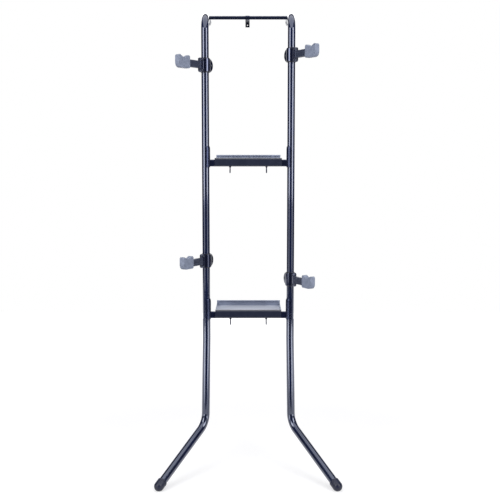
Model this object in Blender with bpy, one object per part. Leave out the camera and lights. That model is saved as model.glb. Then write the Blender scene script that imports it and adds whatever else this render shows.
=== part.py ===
"""Two-tier bicycle rack that leans on a wall, as separate pieces in metres, +Z up.

The viewer stands at -Y and the wall is at +Y. Sizes are first laid out with the
uprights' axes at y = 0; one root empty then moves everything so that the origin is
the centre of the footprint on the floor.
"""
import math

import bmesh
import bpy
from mathutils import Matrix, Vector

# Clearances
GAP = 0.0003                     # between parts that touch
RUNNING_GAP = 0.0004             # between parts that turn or slide

# Upper tubes
UPRIGHT_SPACING = 0.398          # between the two axes
TUBE_RADIUS = 0.0175
TUBE_WALL = 0.0015
TOP_RUN_HEIGHT = 2.131           # axis of the runs that reach back to the wall
TOP_BEND_RADIUS = 0.075
TOP_RUN_REACH = 0.2047           # from the uprights' axes to the tubes' rear ends
PLUG_DEPTH = 0.080               # how far the upper tube sits in the leg tube

# Leg tubes
LEG_RADIUS = 0.019
LEG_WALL = 0.0012
LEG_SPLAY_DEG = 1.0
LEG_STRAIGHT = 0.092             # of the leg's top, before it splays
LEG_CORNER_HEIGHT = 0.208
LEG_BEND_RADIUS = 0.080
FOOT_SPREAD = 0.399              # from the middle plane to each foot's centre
FOOT_FORWARD = 0.320

# Rubber caps
FOOT_CAP_RADIUS = 0.0225
FOOT_CAP_LENGTH = 0.030
FOOT_CAP_RIM = 0.0012            # chamfer of its open edge
FOOT_FLAT_DEPTH = 0.0030         # how much the round cap is cut flat at the floor
WALL_CAP_RADIUS = 0.0205
WALL_CAP_LENGTH = 0.024
WALL_CAP_EDGE = 0.0015
CAP_END_WALL = 0.004

# Bar between the two top runs
BAR_RADIUS = 0.008
BAR_WALL = 0.0012
BAR_SETBACK = 0.080              # behind the uprights' axes
BAR_COPE_SHARE = 0.55            # of the tube's radius, where the coped bar's corners end

# Wall bracket
STRIP_WIDTH = 0.020
STRIP_THICKNESS = 0.0015
STRIP_OFFSET = -0.004            # along the bar, from its middle
STRIP_LAP = 0.030                # where both ends of the strip lie together
STRIP_DROP = 0.003
BRACKET_SCREW_SETBACK = 0.018    # behind the bar's surface
WALL_PLATE_HEIGHT = 0.020
WALL_PLATE_HOLE_RADIUS = 0.0025
STRIP_BEAD_RADIUS = 0.0009
STRIP_BEAD_SPACING = 0.009

# Shelves
UPPER_RAIL_TOP = 1.480
LOWER_RAIL_TOP = 0.761
RAIL_HEIGHT = 0.040
RAIL_DEPTH = 0.020
RAIL_CORNER = 0.0085
RAIL_WALL = 0.0015
SHELF_HALF_WIDTH = 0.157
TRAY_THICKNESS = 0.0015
TRAY_FLOOR_DROP = 0.011          # of the floor below the rail's top
TRAY_DEPTH = 0.186               # from the uprights' axes to the tray's back
TRAY_BACK_LIP = 0.026
TRAY_SIDE_LIP = 0.011
TRAY_HEM = 0.005
TRAY_FRONT_SKIRT = 0.024

# Connectors between rails and uprights
SADDLE_WALL = 0.0035
SADDLE_BELOW_RAIL = 0.004
SADDLE_ABOVE_RAIL = 0.054
SADDLE_SCREW_RISE = 0.018        # of its screw, from behind, above the rail's top
SADDLE_FOOT_EDGE = 0.001         # chamfer at its lower end
SADDLE_FOOT_RISE = 0.004
SADDLE_TIP_EDGE = 0.0025         # taper at its upper end
SADDLE_TIP_RISE = 0.012
SADDLE_WRAP = 0.002              # how far it reaches past the upright's axis
EAR_HEIGHT = 0.032
EAR_DEPTH = 0.016
EAR_EDGE = 0.002
EAR_ROOT_SHARE = 0.6             # of the tube's radius, where the ear starts in the saddle
SPIGOT_LENGTH = 0.028
SPIGOT_ROOT = 0.004              # of the spigot inside the ear

# Hooks
HOOK_SPREAD = 0.085              # from the middle plane
HOOK_WIRE_RADIUS = 0.0027
HOOK_DROP = 0.031                # below the rail
HOOK_RADIUS = 0.009
HOOK_TIP = 0.007
HOOK_SHANK_IN_RAIL = 0.009
HOOK_COLLAR_RADIUS = 0.005
HOOK_COLLAR_HEIGHT = 0.0038

# Arms: how far each clamp is below the top runs or above the lower rail's top, and its
# swing outward from straight ahead
ARMS = {
    "upper_left": {"side": -1, "level": TOP_RUN_HEIGHT, "rise": -0.227, "swing_deg": 38.0},
    "upper_right": {"side": 1, "level": TOP_RUN_HEIGHT, "rise": -0.181, "swing_deg": 34.0},
    "lower_left": {"side": -1, "level": LOWER_RAIL_TOP, "rise": 0.237, "swing_deg": 33.0},
    "lower_right": {"side": 1, "level": LOWER_RAIL_TOP, "rise": 0.149, "swing_deg": 30.0},
}
BUSH_WALL = 0.0025
BUSH_HEIGHT = 0.066
CLAMP_WALL = 0.0035
CLAMP_BARREL_HEIGHT = 0.060
CLAMP_PARTING = 0.0006           # half the gap between the halves at the barrel
FLANGE_THICKNESS = 0.005
LOBE_RADIUS = 0.034
LOBE_SETBACK = 0.012
CORNER_RADIUS = 0.009
CORNER_REACH = 0.031             # of the two front screws ahead of the tube's axis
CORNER_RISE = 0.024              # of the two front screws above and below the arm
REAR_SCREW_SETBACK = 0.034
TANG_THICKNESS = 0.008
ARM_HEIGHT = 0.033
ARM_WIDTH = 0.020
ARM_EDGE = 0.004
ARM_GROOVE_DEPTH = 0.0015
ARM_GROOVE_HEIGHT = 0.0035
ARM_GROOVE_PITCH = 0.0085
CRADLE_REACH = 0.152             # from the tube's axis to the cradle's middle
CRADLE_LENGTH = 0.072
CRADLE_WIDTH = 0.025
CRADLE_BELOW_ARM = 0.0075
CRADLE_SEAT = 0.0190             # lowest point of the notch above the arm's axis
CRADLE_HORN = 0.033              # top of the horns above the arm's axis
CRADLE_HORN_WIDTH = 0.013
CRADLE_END_WALL = 0.006
CRADLE_EDGE = 0.0022
CRADLE_ROOT_RADIUS = 0.004       # corners of its side view, from the inner end outward
CRADLE_TOE_RADIUS = 0.018
CRADLE_HORN_RADIUS = 0.006
CRADLE_NOTCH_RADIUS = 0.008
CRADLE_FLARE_DEG = 35.0          # how far the notch flares at both faces
CRADLE_FLARE_SEAT = 0.0225

# Screws and nuts
M6_RADIUS = 0.0030
M6_HEAD_RADIUS = 0.0055
M6_HEAD_HEIGHT = 0.0035
CLAMP_SCREW_SHORT = 0.0010       # of the far half's outer face
M5_RADIUS = 0.0025
M5_HEAD_RADIUS = 0.0046
M5_HEAD_HEIGHT = 0.0027
M5_NUT_RADIUS = 0.0050
M5_NUT_HEIGHT = 0.0038
THREAD_BITE = 0.008              # length of a short screw past what it holds
HEAD_CROWN_SHARE = 0.62          # of a head's radius, at the flat of its crown
HEAD_RIM_SHARE = 0.55            # of a head's height, above its rim

# Facets
TUBE_SIDES = 24
SMALL_SIDES = 12
SCREW_SIDES = 8
BEND_STEPS = 8
CORNER_STEPS = 3
LOOP_STEPS = 14
MITRE_LIMIT = 0.2                # least cosine used where a bent sheet turns back on itself

# Places that follow from the sizes above
HALF_SPACING = UPRIGHT_SPACING / 2
FOOT_HEIGHT = FOOT_CAP_RADIUS - FOOT_FLAT_DEPTH
WALL_Y = TOP_RUN_REACH + GAP + CAP_END_WALL
FRONT_Y = -FOOT_FORWARD - FOOT_CAP_RADIUS
ORIGIN_Y = (WALL_Y + FRONT_Y) / 2
SADDLE_RADIUS = TUBE_RADIUS + GAP
LEG_TOP = LOWER_RAIL_TOP - RAIL_HEIGHT - SADDLE_BELOW_RAIL - GAP
BUSH_INNER = TUBE_RADIUS + RUNNING_GAP
BUSH_OUTER = BUSH_INNER + BUSH_WALL
CLAMP_BORE = BUSH_OUTER + RUNNING_GAP
CLAMP_OUTER = CLAMP_BORE + CLAMP_WALL
FLANGE_FACE = TANG_THICKNESS / 2 + GAP
FLANGE_OUTSIDE = FLANGE_FACE + FLANGE_THICKNESS
SPIGOT_CLEARANCE = RAIL_WALL + GAP
TRAY_FRONT = RAIL_DEPTH / 2 + GAP


# Scene and materials

def clear_scene():
    """Remove every object that a new file starts with."""
    for item in list(bpy.data.objects):
        bpy.data.objects.remove(item)


def make_material(name, colour, roughness, metallic):
    """Return a plain material."""
    material = bpy.data.materials.new(name)
    material.use_nodes = True
    shader = material.node_tree.nodes["Principled BSDF"]
    shader.inputs["Base Color"].default_value = (*colour, 1.0)
    shader.inputs["Roughness"].default_value = roughness
    shader.inputs["Metallic"].default_value = metallic
    return material


def make_empty(name, parent, location, turn_z=0.0):
    """Return an empty that carries pieces, turned about Z."""
    empty = bpy.data.objects.new(name, None)
    bpy.context.scene.collection.objects.link(empty)
    empty.parent = parent
    empty.location = location
    empty.rotation_euler = (0.0, 0.0, turn_z)
    return empty


def place(name, mesh, material, parent, location=(0.0, 0.0, 0.0)):
    """Return a named piece that holds a mesh and a material."""
    item = bpy.data.objects.new(name, mesh)
    bpy.context.scene.collection.objects.link(item)
    if not mesh.materials:
        mesh.materials.append(material)
    item.parent = parent
    item.location = location
    return item


# Mesh helpers

def to_mesh(name, bm, smooth_deg=35.0):
    """Return a mesh with outward faces, shaded smooth up to an angle, and free the bmesh."""
    bmesh.ops.recalc_face_normals(bm, faces=bm.faces)
    mesh = bpy.data.meshes.new(name)
    bm.to_mesh(mesh)
    bm.free()
    mesh.shade_smooth()
    mesh.set_sharp_from_angle(angle=math.radians(smooth_deg))
    return mesh


def carved(name, base, tools, smooth_deg=35.0):
    """Return the base solid after each (operation, solid) of tools, in order."""
    scene = bpy.context.scene.collection
    body = bpy.data.objects.new(name, to_mesh(name, base))
    scene.objects.link(body)
    helpers = []
    for operation, solid in tools:
        helper = bpy.data.objects.new(name + "_tool", to_mesh(name + "_tool", solid))
        helper.hide_render = True
        helper.display_type = "WIRE"
        scene.objects.link(helper)
        step = body.modifiers.new(operation.title(), "BOOLEAN")
        step.operation = operation
        step.object = helper
        helpers.append(helper)
    bpy.context.view_layer.update()
    shaped = body.evaluated_get(bpy.context.evaluated_depsgraph_get())
    mesh = bpy.data.meshes.new_from_object(shaped)
    mesh.name = name
    mesh.shade_smooth()
    mesh.set_sharp_from_angle(angle=math.radians(smooth_deg))
    for item in helpers + [body]:
        bpy.data.objects.remove(item)
    return mesh


def add_ring(bm, frame, radius, sides):
    """Add a circle of vertices round a frame's Z axis and return them."""
    step = 2 * math.pi / sides
    points = [Vector((radius * math.cos(step * k), radius * math.sin(step * k), 0.0)) for k in range(sides)]
    return [bm.verts.new(frame @ point) for point in points]


def bridge(bm, first, second):
    """Join two closed loops of as many vertices with quads."""
    count = len(first)
    for k in range(count):
        after = (k + 1) % count
        bm.faces.new((first[k], first[after], second[after], second[k]))


def frame_at(point, direction, upright):
    """Return a frame at point with Z along direction and X as near upright as it can be."""
    z_axis = direction.normalized()
    x_axis = (upright - z_axis * upright.dot(z_axis)).normalized()
    y_axis = z_axis.cross(x_axis)
    turn = Matrix((x_axis, y_axis, z_axis)).transposed().to_4x4()
    return Matrix.Translation(point) @ turn


def path_frames(points):
    """Return a frame at each point of a path, carried along it without twist."""
    frames = []
    start = (points[1] - points[0]).normalized()
    side = Vector((0.0, 1.0, 0.0)) if abs(start.x) > 0.9 else Vector((1.0, 0.0, 0.0))
    for index, point in enumerate(points):
        before = points[max(index - 1, 0)]
        after = points[min(index + 1, len(points) - 1)]
        inward = (point - before).normalized() if index else (after - point).normalized()
        outward = (after - point).normalized() if point != after else inward
        frame = frame_at(point, inward + outward, side)
        side = frame.to_3x3() @ Vector((1.0, 0.0, 0.0))
        frames.append(frame)
    return frames


def rounded_path(corners, radius, steps):
    """Return a path through the corners, with an arc of radius at each inner one."""
    points = [corners[0]]
    for before, corner, after in zip(corners, corners[1:], corners[2:]):
        inward = (corner - before).normalized()
        outward = (after - corner).normalized()
        turn = inward.angle(outward)
        setback = radius * math.tan(turn / 2)
        normal = (outward - inward * outward.dot(inward)).normalized()
        centre = corner - inward * setback + normal * radius
        for k in range(steps + 1):
            angle = turn * k / steps
            points.append(centre - normal * (radius * math.cos(angle))
                          + inward * (radius * math.sin(angle)))
    points.append(corners[-1])
    return points


def tube_solid(points, outer, inner, sides):
    """Return a hollow tube along a path, open at both ends."""
    bm = bmesh.new()
    frames = path_frames(points)
    outside = [add_ring(bm, frame, outer, sides) for frame in frames]
    inside = [add_ring(bm, frame, inner, sides) for frame in frames]
    for first, second in zip(outside, outside[1:]):
        bridge(bm, first, second)
    for first, second in zip(inside, inside[1:]):
        bridge(bm, second, first)
    bridge(bm, inside[0], outside[0])
    bridge(bm, outside[-1], inside[-1])
    return bm


def turned_solid(start, direction, profile, sides, upright=Vector((1.0, 0.0, 0.0))):
    """Return a solid turned about a line, from (distance along it, radius) pairs.

    A profile that starts or ends off the line is closed with a flat face.
    """
    bm = bmesh.new()
    add_turned(bm, start, direction, profile, sides, upright)
    return bm


def add_turned(bm, start, direction, profile, sides, upright=Vector((1.0, 0.0, 0.0))):
    """Add to a bmesh what turned_solid returns."""
    along = direction.normalized()
    base = frame_at(start, along, upright)
    rings = [add_ring(bm, base @ Matrix.Translation((0.0, 0.0, distance)), radius, sides)
             for distance, radius in profile]
    for first, second in zip(rings, rings[1:]):
        bridge(bm, first, second)
    bm.faces.new(list(reversed(rings[0])))
    bm.faces.new(rings[-1])


def add_washer(bm, start, direction, outer, inner, height, sides, upright=Vector((1.0, 0.0, 0.0))):
    """Add a flat ring with a bore through it."""
    base = frame_at(start, direction.normalized(), upright)
    top = base @ Matrix.Translation((0.0, 0.0, height))
    low_out = add_ring(bm, base, outer, sides)
    low_in = add_ring(bm, base, inner, sides)
    high_out = add_ring(bm, top, outer, sides)
    high_in = add_ring(bm, top, inner, sides)
    bridge(bm, low_out, high_out)
    bridge(bm, high_in, low_in)
    bridge(bm, low_in, low_out)
    bridge(bm, high_out, high_in)


def box_solid(low, high):
    """Return a box between its lowest and highest corners."""
    bm = bmesh.new()
    size = [high[k] - low[k] for k in range(3)]
    middle = [(high[k] + low[k]) / 2 for k in range(3)]
    bmesh.ops.create_cube(bm, size=1.0)
    bmesh.ops.scale(bm, vec=size, verts=bm.verts)
    bmesh.ops.translate(bm, vec=middle, verts=bm.verts)
    return bm


def prism(outline, axis, start, end):
    """Return a prism of a flat outline, given as 2-D points, along X or Y."""
    bm = bmesh.new()

    def corner(point, level):
        if axis == "X":
            return (level, point[0], point[1])
        return (point[0], level, point[1])

    low = [bm.verts.new(corner(point, start)) for point in outline]
    high = [bm.verts.new(corner(point, end)) for point in outline]
    bridge(bm, low, high)
    bm.faces.new(list(reversed(low)))
    bm.faces.new(high)
    return bm


def rounded_outline(corners, steps):
    """Return a closed outline from (x, y, radius) corners, each rounded by its radius."""
    outline = []
    count = len(corners)
    for index, (x, y, radius) in enumerate(corners):
        corner = Vector((x, y))
        before = Vector(corners[index - 1][:2])
        after = Vector(corners[(index + 1) % count][:2])
        inward = (corner - before).normalized()
        outward = (after - corner).normalized()
        turn = inward.angle(outward)
        setback = radius * math.tan(turn / 2)
        normal = (outward - inward * outward.dot(inward)).normalized()
        centre = corner - inward * setback + normal * radius
        for k in range(steps + 1):
            angle = turn * k / steps
            point = (centre - normal * (radius * math.cos(angle))
                     + inward * (radius * math.sin(angle)))
            outline.append((point.x, point.y))
    return outline


def sheet_outline(path, thickness):
    """Return the closed outline of a bent sheet from the middle line of its section."""
    points = [Vector(point) for point in path]
    left, right = [], []
    for index, point in enumerate(points):
        before = points[max(index - 1, 0)]
        after = points[min(index + 1, len(points) - 1)]
        inward = (point - before).normalized() if index else (after - point).normalized()
        outward = (after - point).normalized() if index < len(points) - 1 else inward
        bisector = (inward + outward).normalized()
        normal = Vector((-bisector.y, bisector.x))
        reach = thickness / 2 / max(normal.dot(Vector((-inward.y, inward.x))), MITRE_LIMIT)
        left.append(tuple(point + normal * reach))
        right.append(tuple(point - normal * reach))
    return left + right[::-1]


def add_screw(bm, head_seat, direction, shank_length, shank_radius, head_radius, head_height):
    """Add a button-head screw: its head sits on head_seat, its shank runs along direction."""
    along = direction.normalized()
    start = head_seat - along * head_height
    profile = [(0.0, head_radius * HEAD_CROWN_SHARE), (head_height * HEAD_RIM_SHARE, head_radius),
               (head_height, head_radius), (head_height, shank_radius),
               (head_height + shank_length, shank_radius)]
    add_turned(bm, start, along, profile, SCREW_SIDES)


def hole(centre, direction, radius, length, sides=SCREW_SIDES):
    """Return a cutter for a round hole, centred on a point."""
    along = direction.normalized()
    return turned_solid(centre - along * (length / 2), along,
                        [(0.0, radius), (length, radius)], sides)


# Frame: tubes and caps

def connector_screw_height(rail_top):
    """Height of the screw that holds a connector to its upright."""
    return rail_top + SADDLE_SCREW_RISE


def make_upright(name, side, material, root):
    """An upper tube: it stands in the leg tube and bends back to the wall."""
    x = side * HALF_SPACING
    bottom = LEG_TOP - PLUG_DEPTH
    corners = [Vector((x, 0.0, bottom)), Vector((x, 0.0, TOP_RUN_HEIGHT)),
               Vector((x, TOP_RUN_REACH, TOP_RUN_HEIGHT))]
    tube = tube_solid(rounded_path(corners, TOP_BEND_RADIUS, BEND_STEPS),
                      TUBE_RADIUS, TUBE_RADIUS - TUBE_WALL, TUBE_SIDES)
    cuts = []
    for rail_top in (LOWER_RAIL_TOP, UPPER_RAIL_TOP):
        centre = Vector((x, TUBE_RADIUS - TUBE_WALL / 2, connector_screw_height(rail_top)))
        screw_hole = hole(centre, Vector((0.0, 1.0, 0.0)), M5_RADIUS + GAP, 4 * TUBE_WALL)
        cuts.append(("DIFFERENCE", screw_hole))
    return place(name, carved(name, tube, cuts), material, root)


def leg_corner(side):
    """Point where a leg's axis turns forward to its foot."""
    drop = LEG_TOP - LEG_STRAIGHT - LEG_CORNER_HEIGHT
    spread = HALF_SPACING + drop * math.tan(math.radians(LEG_SPLAY_DEG))
    return Vector((side * spread, 0.0, LEG_CORNER_HEIGHT))


def foot_centre(side):
    """Centre of a foot cap's round end."""
    return Vector((side * FOOT_SPREAD, -FOOT_FORWARD, FOOT_HEIGHT))


def make_leg(name, side, material, root):
    """A leg tube: straight at its socket, splayed below it, then bent to the front."""
    top = Vector((side * HALF_SPACING, 0.0, LEG_TOP))
    knee = top - Vector((0.0, 0.0, LEG_STRAIGHT))
    corner = leg_corner(side)
    foot = foot_centre(side)
    end = foot - (foot - corner).normalized() * GAP
    path = [top, knee] + rounded_path([knee, corner, end], LEG_BEND_RADIUS, BEND_STEPS)[1:]
    tube = tube_solid(path, LEG_RADIUS, LEG_RADIUS - LEG_WALL, TUBE_SIDES)
    return place(name, to_mesh(name, tube), material, root)


def make_foot_cap(name, side, material, root):
    """A round rubber cap over the foot, cut flat where it stands on the floor."""
    foot = foot_centre(side)
    along = (foot - leg_corner(side)).normalized()
    start = foot - along * FOOT_CAP_LENGTH
    profile = [(0.0, FOOT_CAP_RADIUS - FOOT_CAP_RIM), (FOOT_CAP_RIM, FOOT_CAP_RADIUS)]
    dome_steps = 6
    for k in range(dome_steps):
        angle = math.pi / 2 * k / dome_steps
        profile.append((FOOT_CAP_LENGTH + FOOT_CAP_RADIUS * math.sin(angle),
                        FOOT_CAP_RADIUS * math.cos(angle)))
    cap = turned_solid(start, along, profile, TUBE_SIDES)
    bore_radius = LEG_RADIUS + GAP
    bore = turned_solid(start - along * CAP_END_WALL, along,
                        [(0.0, bore_radius), (CAP_END_WALL + FOOT_CAP_LENGTH, bore_radius)], TUBE_SIDES)
    reach = 2 * FOOT_CAP_LENGTH + FOOT_CAP_RADIUS
    floor = box_solid((foot.x - reach, foot.y - reach, -reach), (foot.x + reach, foot.y + reach, 0.0))
    mesh = carved(name, cap, [("DIFFERENCE", floor), ("DIFFERENCE", bore)])
    return place(name, mesh, material, root)


def make_wall_cap(name, side, material, root):
    """A flat-ended cap over a top run's rear end; its end rests on the wall."""
    centre = Vector((side * HALF_SPACING, WALL_Y, TOP_RUN_HEIGHT))
    along = Vector((0.0, -1.0, 0.0))
    profile = [(0.0, WALL_CAP_RADIUS - WALL_CAP_EDGE), (WALL_CAP_EDGE, WALL_CAP_RADIUS),
               (WALL_CAP_LENGTH, WALL_CAP_RADIUS)]
    cap = turned_solid(centre, along, profile, TUBE_SIDES)
    bore = turned_solid(centre + along * CAP_END_WALL, along,
                        [(0.0, TUBE_RADIUS + GAP), (WALL_CAP_LENGTH, TUBE_RADIUS + GAP)], TUBE_SIDES)
    return place(name, carved(name, cap, [("DIFFERENCE", bore)]), material, root)


# Frame: top bar and wall bracket

def bar_end():
    """Distance from the middle plane to the square-cut end of the top bar."""
    return HALF_SPACING - TUBE_RADIUS * BAR_COPE_SHARE


def make_top_bar(material, root):
    """The bar between the two top runs, coped to both tubes."""
    middle = Vector((0.0, BAR_SETBACK, TOP_RUN_HEIGHT))
    reach = Vector((bar_end(), 0.0, 0.0))
    bar = tube_solid([middle - reach, middle + reach], BAR_RADIUS, BAR_RADIUS - BAR_WALL, SMALL_SIDES)
    cuts = []
    for side in (-1, 1):
        centre = Vector((side * HALF_SPACING, BAR_SETBACK, TOP_RUN_HEIGHT))
        cope = hole(centre, Vector((0.0, 1.0, 0.0)), TUBE_RADIUS + GAP, 4 * TUBE_RADIUS, TUBE_SIDES)
        cuts.append(("DIFFERENCE", cope))
    return place("top_bar", carved("top_bar", bar, cuts), material, root)


def strip_section():
    """Middle line of the wall bracket's strip: a loop round the bar, then back to the wall."""
    radius = BAR_RADIUS + GAP + STRIP_THICKNESS / 2
    half_lap = (STRIP_THICKNESS + GAP) / 2
    lap_end = BAR_SETBACK + radius + STRIP_LAP
    path = [(lap_end, TOP_RUN_HEIGHT + half_lap)]
    start = math.asin(half_lap / radius)
    for k in range(LOOP_STEPS + 1):
        angle = start + (2 * math.pi - 2 * start) * k / LOOP_STEPS
        path.append((BAR_SETBACK + radius * math.cos(angle), TOP_RUN_HEIGHT + radius * math.sin(angle)))
    plate_y = WALL_Y - STRIP_THICKNESS / 2
    path.append((lap_end, TOP_RUN_HEIGHT - half_lap))
    path.append((plate_y, TOP_RUN_HEIGHT - half_lap - STRIP_DROP))
    path.append((plate_y, TOP_RUN_HEIGHT - half_lap - STRIP_DROP - WALL_PLATE_HEIGHT))
    return path


def bracket_screw_y():
    """Where the bracket's screw passes through the lapped strip."""
    return BAR_SETBACK + BAR_RADIUS + BRACKET_SCREW_SETBACK


def make_wall_bracket(material, root):
    """A strip bent round the bar, lapped and screwed, with a plate against the wall."""
    x_low = STRIP_OFFSET - STRIP_WIDTH / 2
    x_high = STRIP_OFFSET + STRIP_WIDTH / 2
    section = strip_section()
    strip = prism(sheet_outline(section, STRIP_THICKNESS), "X", x_low, x_high)
    plate_bottom = section[-1][1]
    plate_hole = hole(Vector((STRIP_OFFSET, WALL_Y, plate_bottom + WALL_PLATE_HEIGHT / 2)),
                      Vector((0.0, 1.0, 0.0)), WALL_PLATE_HOLE_RADIUS, 4 * STRIP_THICKNESS)
    lap_hole = hole(Vector((STRIP_OFFSET, bracket_screw_y(), TOP_RUN_HEIGHT)),
                    Vector((0.0, 0.0, 1.0)), M5_RADIUS + GAP, 8 * STRIP_THICKNESS)
    tools = [("DIFFERENCE", plate_hole), ("DIFFERENCE", lap_hole)]
    below = (section[-3][1] + section[-2][1]) / 2 - STRIP_THICKNESS / 2
    for direction in (-1, 1):
        x = STRIP_OFFSET + direction * STRIP_BEAD_SPACING / 2
        start = Vector((x, section[-3][0] + STRIP_THICKNESS, section[-3][1] - STRIP_THICKNESS / 2))
        end = Vector((x, section[-2][0] - 2 * STRIP_THICKNESS, 2 * below - start.z))
        length = (end - start).length
        bead = turned_solid(start, end - start, [(0.0, STRIP_BEAD_RADIUS), (length, STRIP_BEAD_RADIUS)],
                            SCREW_SIDES)
        tools.append(("UNION", bead))
    return place("wall_bracket", carved("wall_bracket", strip, tools), material, root)


def make_bracket_screw(material, root):
    """The screw up through the lapped strip."""
    bm = bmesh.new()
    lap = STRIP_THICKNESS + GAP / 2
    seat = Vector((STRIP_OFFSET, bracket_screw_y(), TOP_RUN_HEIGHT - lap - GAP))
    length = 2 * (lap + GAP) + M5_NUT_HEIGHT + GAP
    add_screw(bm, seat, Vector((0.0, 0.0, 1.0)), length, M5_RADIUS, M5_HEAD_RADIUS, M5_HEAD_HEIGHT)
    return place("wall_bracket_screw", to_mesh("wall_bracket_screw", bm), material, root)


def make_bracket_nut(material, root):
    """The nut on top of the lapped strip."""
    bm = bmesh.new()
    seat = Vector((STRIP_OFFSET, bracket_screw_y(), TOP_RUN_HEIGHT + STRIP_THICKNESS + GAP / 2 + GAP))
    add_nut(bm, seat, Vector((0.0, 0.0, 1.0)), M5_RADIUS, M5_NUT_RADIUS, M5_NUT_HEIGHT)
    return place("wall_bracket_nut", to_mesh("wall_bracket_nut", bm), material, root)


def add_nut(bm, seat, direction, screw_radius, radius, height):
    """Add a hexagon nut whose bore clears a screw of the given radius."""
    bore = (screw_radius + GAP / 2) / math.cos(math.pi / 6)
    add_washer(bm, seat, direction, radius, bore, height, 6)


# Shelves

def make_rail(name, rail_top, material, root):
    """A shelf's front rail: an oval tube with two holes for the hooks in its underside."""
    middle = rail_top - RAIL_HEIGHT / 2

    def section(inset):
        half_depth = RAIL_DEPTH / 2 - inset
        half_height = RAIL_HEIGHT / 2 - inset
        radius = RAIL_CORNER - inset
        return rounded_outline([(-half_depth, middle - half_height, radius),
                                (half_depth, middle - half_height, radius),
                                (half_depth, middle + half_height, radius),
                                (-half_depth, middle + half_height, radius)], CORNER_STEPS + 1)

    rail = prism(section(0.0), "X", -SHELF_HALF_WIDTH, SHELF_HALF_WIDTH)
    inside = prism(section(RAIL_WALL), "X", -SHELF_HALF_WIDTH - RAIL_WALL, SHELF_HALF_WIDTH + RAIL_WALL)
    tools = [("DIFFERENCE", inside)]
    for side in (-1, 1):
        centre = Vector((side * HOOK_SPREAD, 0.0, rail_top - RAIL_HEIGHT))
        hook_hole = hole(centre, Vector((0.0, 0.0, 1.0)), HOOK_WIRE_RADIUS + GAP, 4 * RAIL_WALL)
        tools.append(("DIFFERENCE", hook_hole))
    return place(name, carved(name, rail, tools), material, root)


def make_tray(name, rail_top, material, root):
    """A bent sheet: front skirt behind the rail, floor, back lip with a hem, two side lips."""
    half = TRAY_THICKNESS / 2
    floor = rail_top - TRAY_FLOOR_DROP
    front = TRAY_FRONT + half
    back = TRAY_DEPTH - half
    path = [(front, floor - TRAY_FRONT_SKIRT), (front, floor - half), (back, floor - half),
            (back, floor + TRAY_BACK_LIP - half), (back - TRAY_HEM, floor + TRAY_BACK_LIP - half),
            (back - TRAY_HEM, floor + TRAY_BACK_LIP - half - TRAY_HEM)]
    sheet = prism(sheet_outline(path, TRAY_THICKNESS), "X",
                  -SHELF_HALF_WIDTH + TRAY_THICKNESS / 4, SHELF_HALF_WIDTH - TRAY_THICKNESS / 4)
    tools = []
    for side in (-1, 1):
        outer = side * SHELF_HALF_WIDTH
        inner = side * (SHELF_HALF_WIDTH - TRAY_THICKNESS)
        low = (min(outer, inner), TRAY_FRONT, floor - TRAY_THICKNESS)
        high = (max(outer, inner), TRAY_DEPTH, floor + TRAY_SIDE_LIP)
        tools.append(("UNION", box_solid(low, high)))
    return place(name, carved(name, sheet, tools), material, root)


def make_connector(name, side, rail_top, material, root):
    """A saddle on the upright's inner side, with an ear and a spigot for the rail."""
    x = side * HALF_SPACING
    low = rail_top - RAIL_HEIGHT - SADDLE_BELOW_RAIL
    high = rail_top + SADDLE_ABOVE_RAIL
    outer = SADDLE_RADIUS + SADDLE_WALL
    shell = turned_solid(Vector((x, 0.0, low)), Vector((0.0, 0.0, 1.0)),
                         [(0.0, outer - SADDLE_FOOT_EDGE), (SADDLE_FOOT_RISE, outer),
                          (high - low - SADDLE_TIP_RISE, outer), (high - low, outer - SADDLE_TIP_EDGE)],
                         TUBE_SIDES)
    bore = turned_solid(Vector((x, 0.0, low - SADDLE_WALL)), Vector((0.0, 0.0, 1.0)),
                        [(0.0, SADDLE_RADIUS), (high - low + 2 * SADDLE_WALL, SADDLE_RADIUS)], TUBE_SIDES)
    ear_bottom = rail_top - RAIL_HEIGHT + GAP
    ear_top = ear_bottom + EAR_HEIGHT
    ear_end = side * (SHELF_HALF_WIDTH + GAP)
    ear_root = side * (HALF_SPACING - TUBE_RADIUS * EAR_ROOT_SHARE)
    ear = box_solid((min(ear_end, ear_root), -EAR_DEPTH / 2, ear_bottom),
                    (max(ear_end, ear_root), EAR_DEPTH / 2, ear_top))
    bmesh.ops.bevel(ear, geom=ear.edges[:], offset=EAR_EDGE, segments=1, affect="EDGES")
    spigot_half_depth = RAIL_DEPTH / 2 - SPIGOT_CLEARANCE
    spigot_end = side * (SHELF_HALF_WIDTH - SPIGOT_LENGTH)
    spigot_root = side * (SHELF_HALF_WIDTH + SPIGOT_ROOT)
    middle = rail_top - RAIL_HEIGHT / 2
    spigot_rise = RAIL_HEIGHT / 2 - RAIL_CORNER
    spigot = box_solid((min(spigot_end, spigot_root), -spigot_half_depth, middle - spigot_rise),
                       (max(spigot_end, spigot_root), spigot_half_depth, middle + spigot_rise))
    cut_start = x + side * SADDLE_WRAP
    cut_end = x + side * 3 * outer
    outer_side = box_solid((min(cut_start, cut_end), -3 * outer, low - outer),
                           (max(cut_start, cut_end), 3 * outer, high + outer))
    tools = [("UNION", ear), ("DIFFERENCE", bore), ("DIFFERENCE", outer_side), ("UNION", spigot)]
    centre = Vector((x, outer, connector_screw_height(rail_top)))
    screw_hole = hole(centre, Vector((0.0, 1.0, 0.0)), M5_RADIUS + GAP, 4 * SADDLE_WALL)
    tools.append(("DIFFERENCE", screw_hole))
    return place(name, carved(name, shell, tools), material, root)


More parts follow.
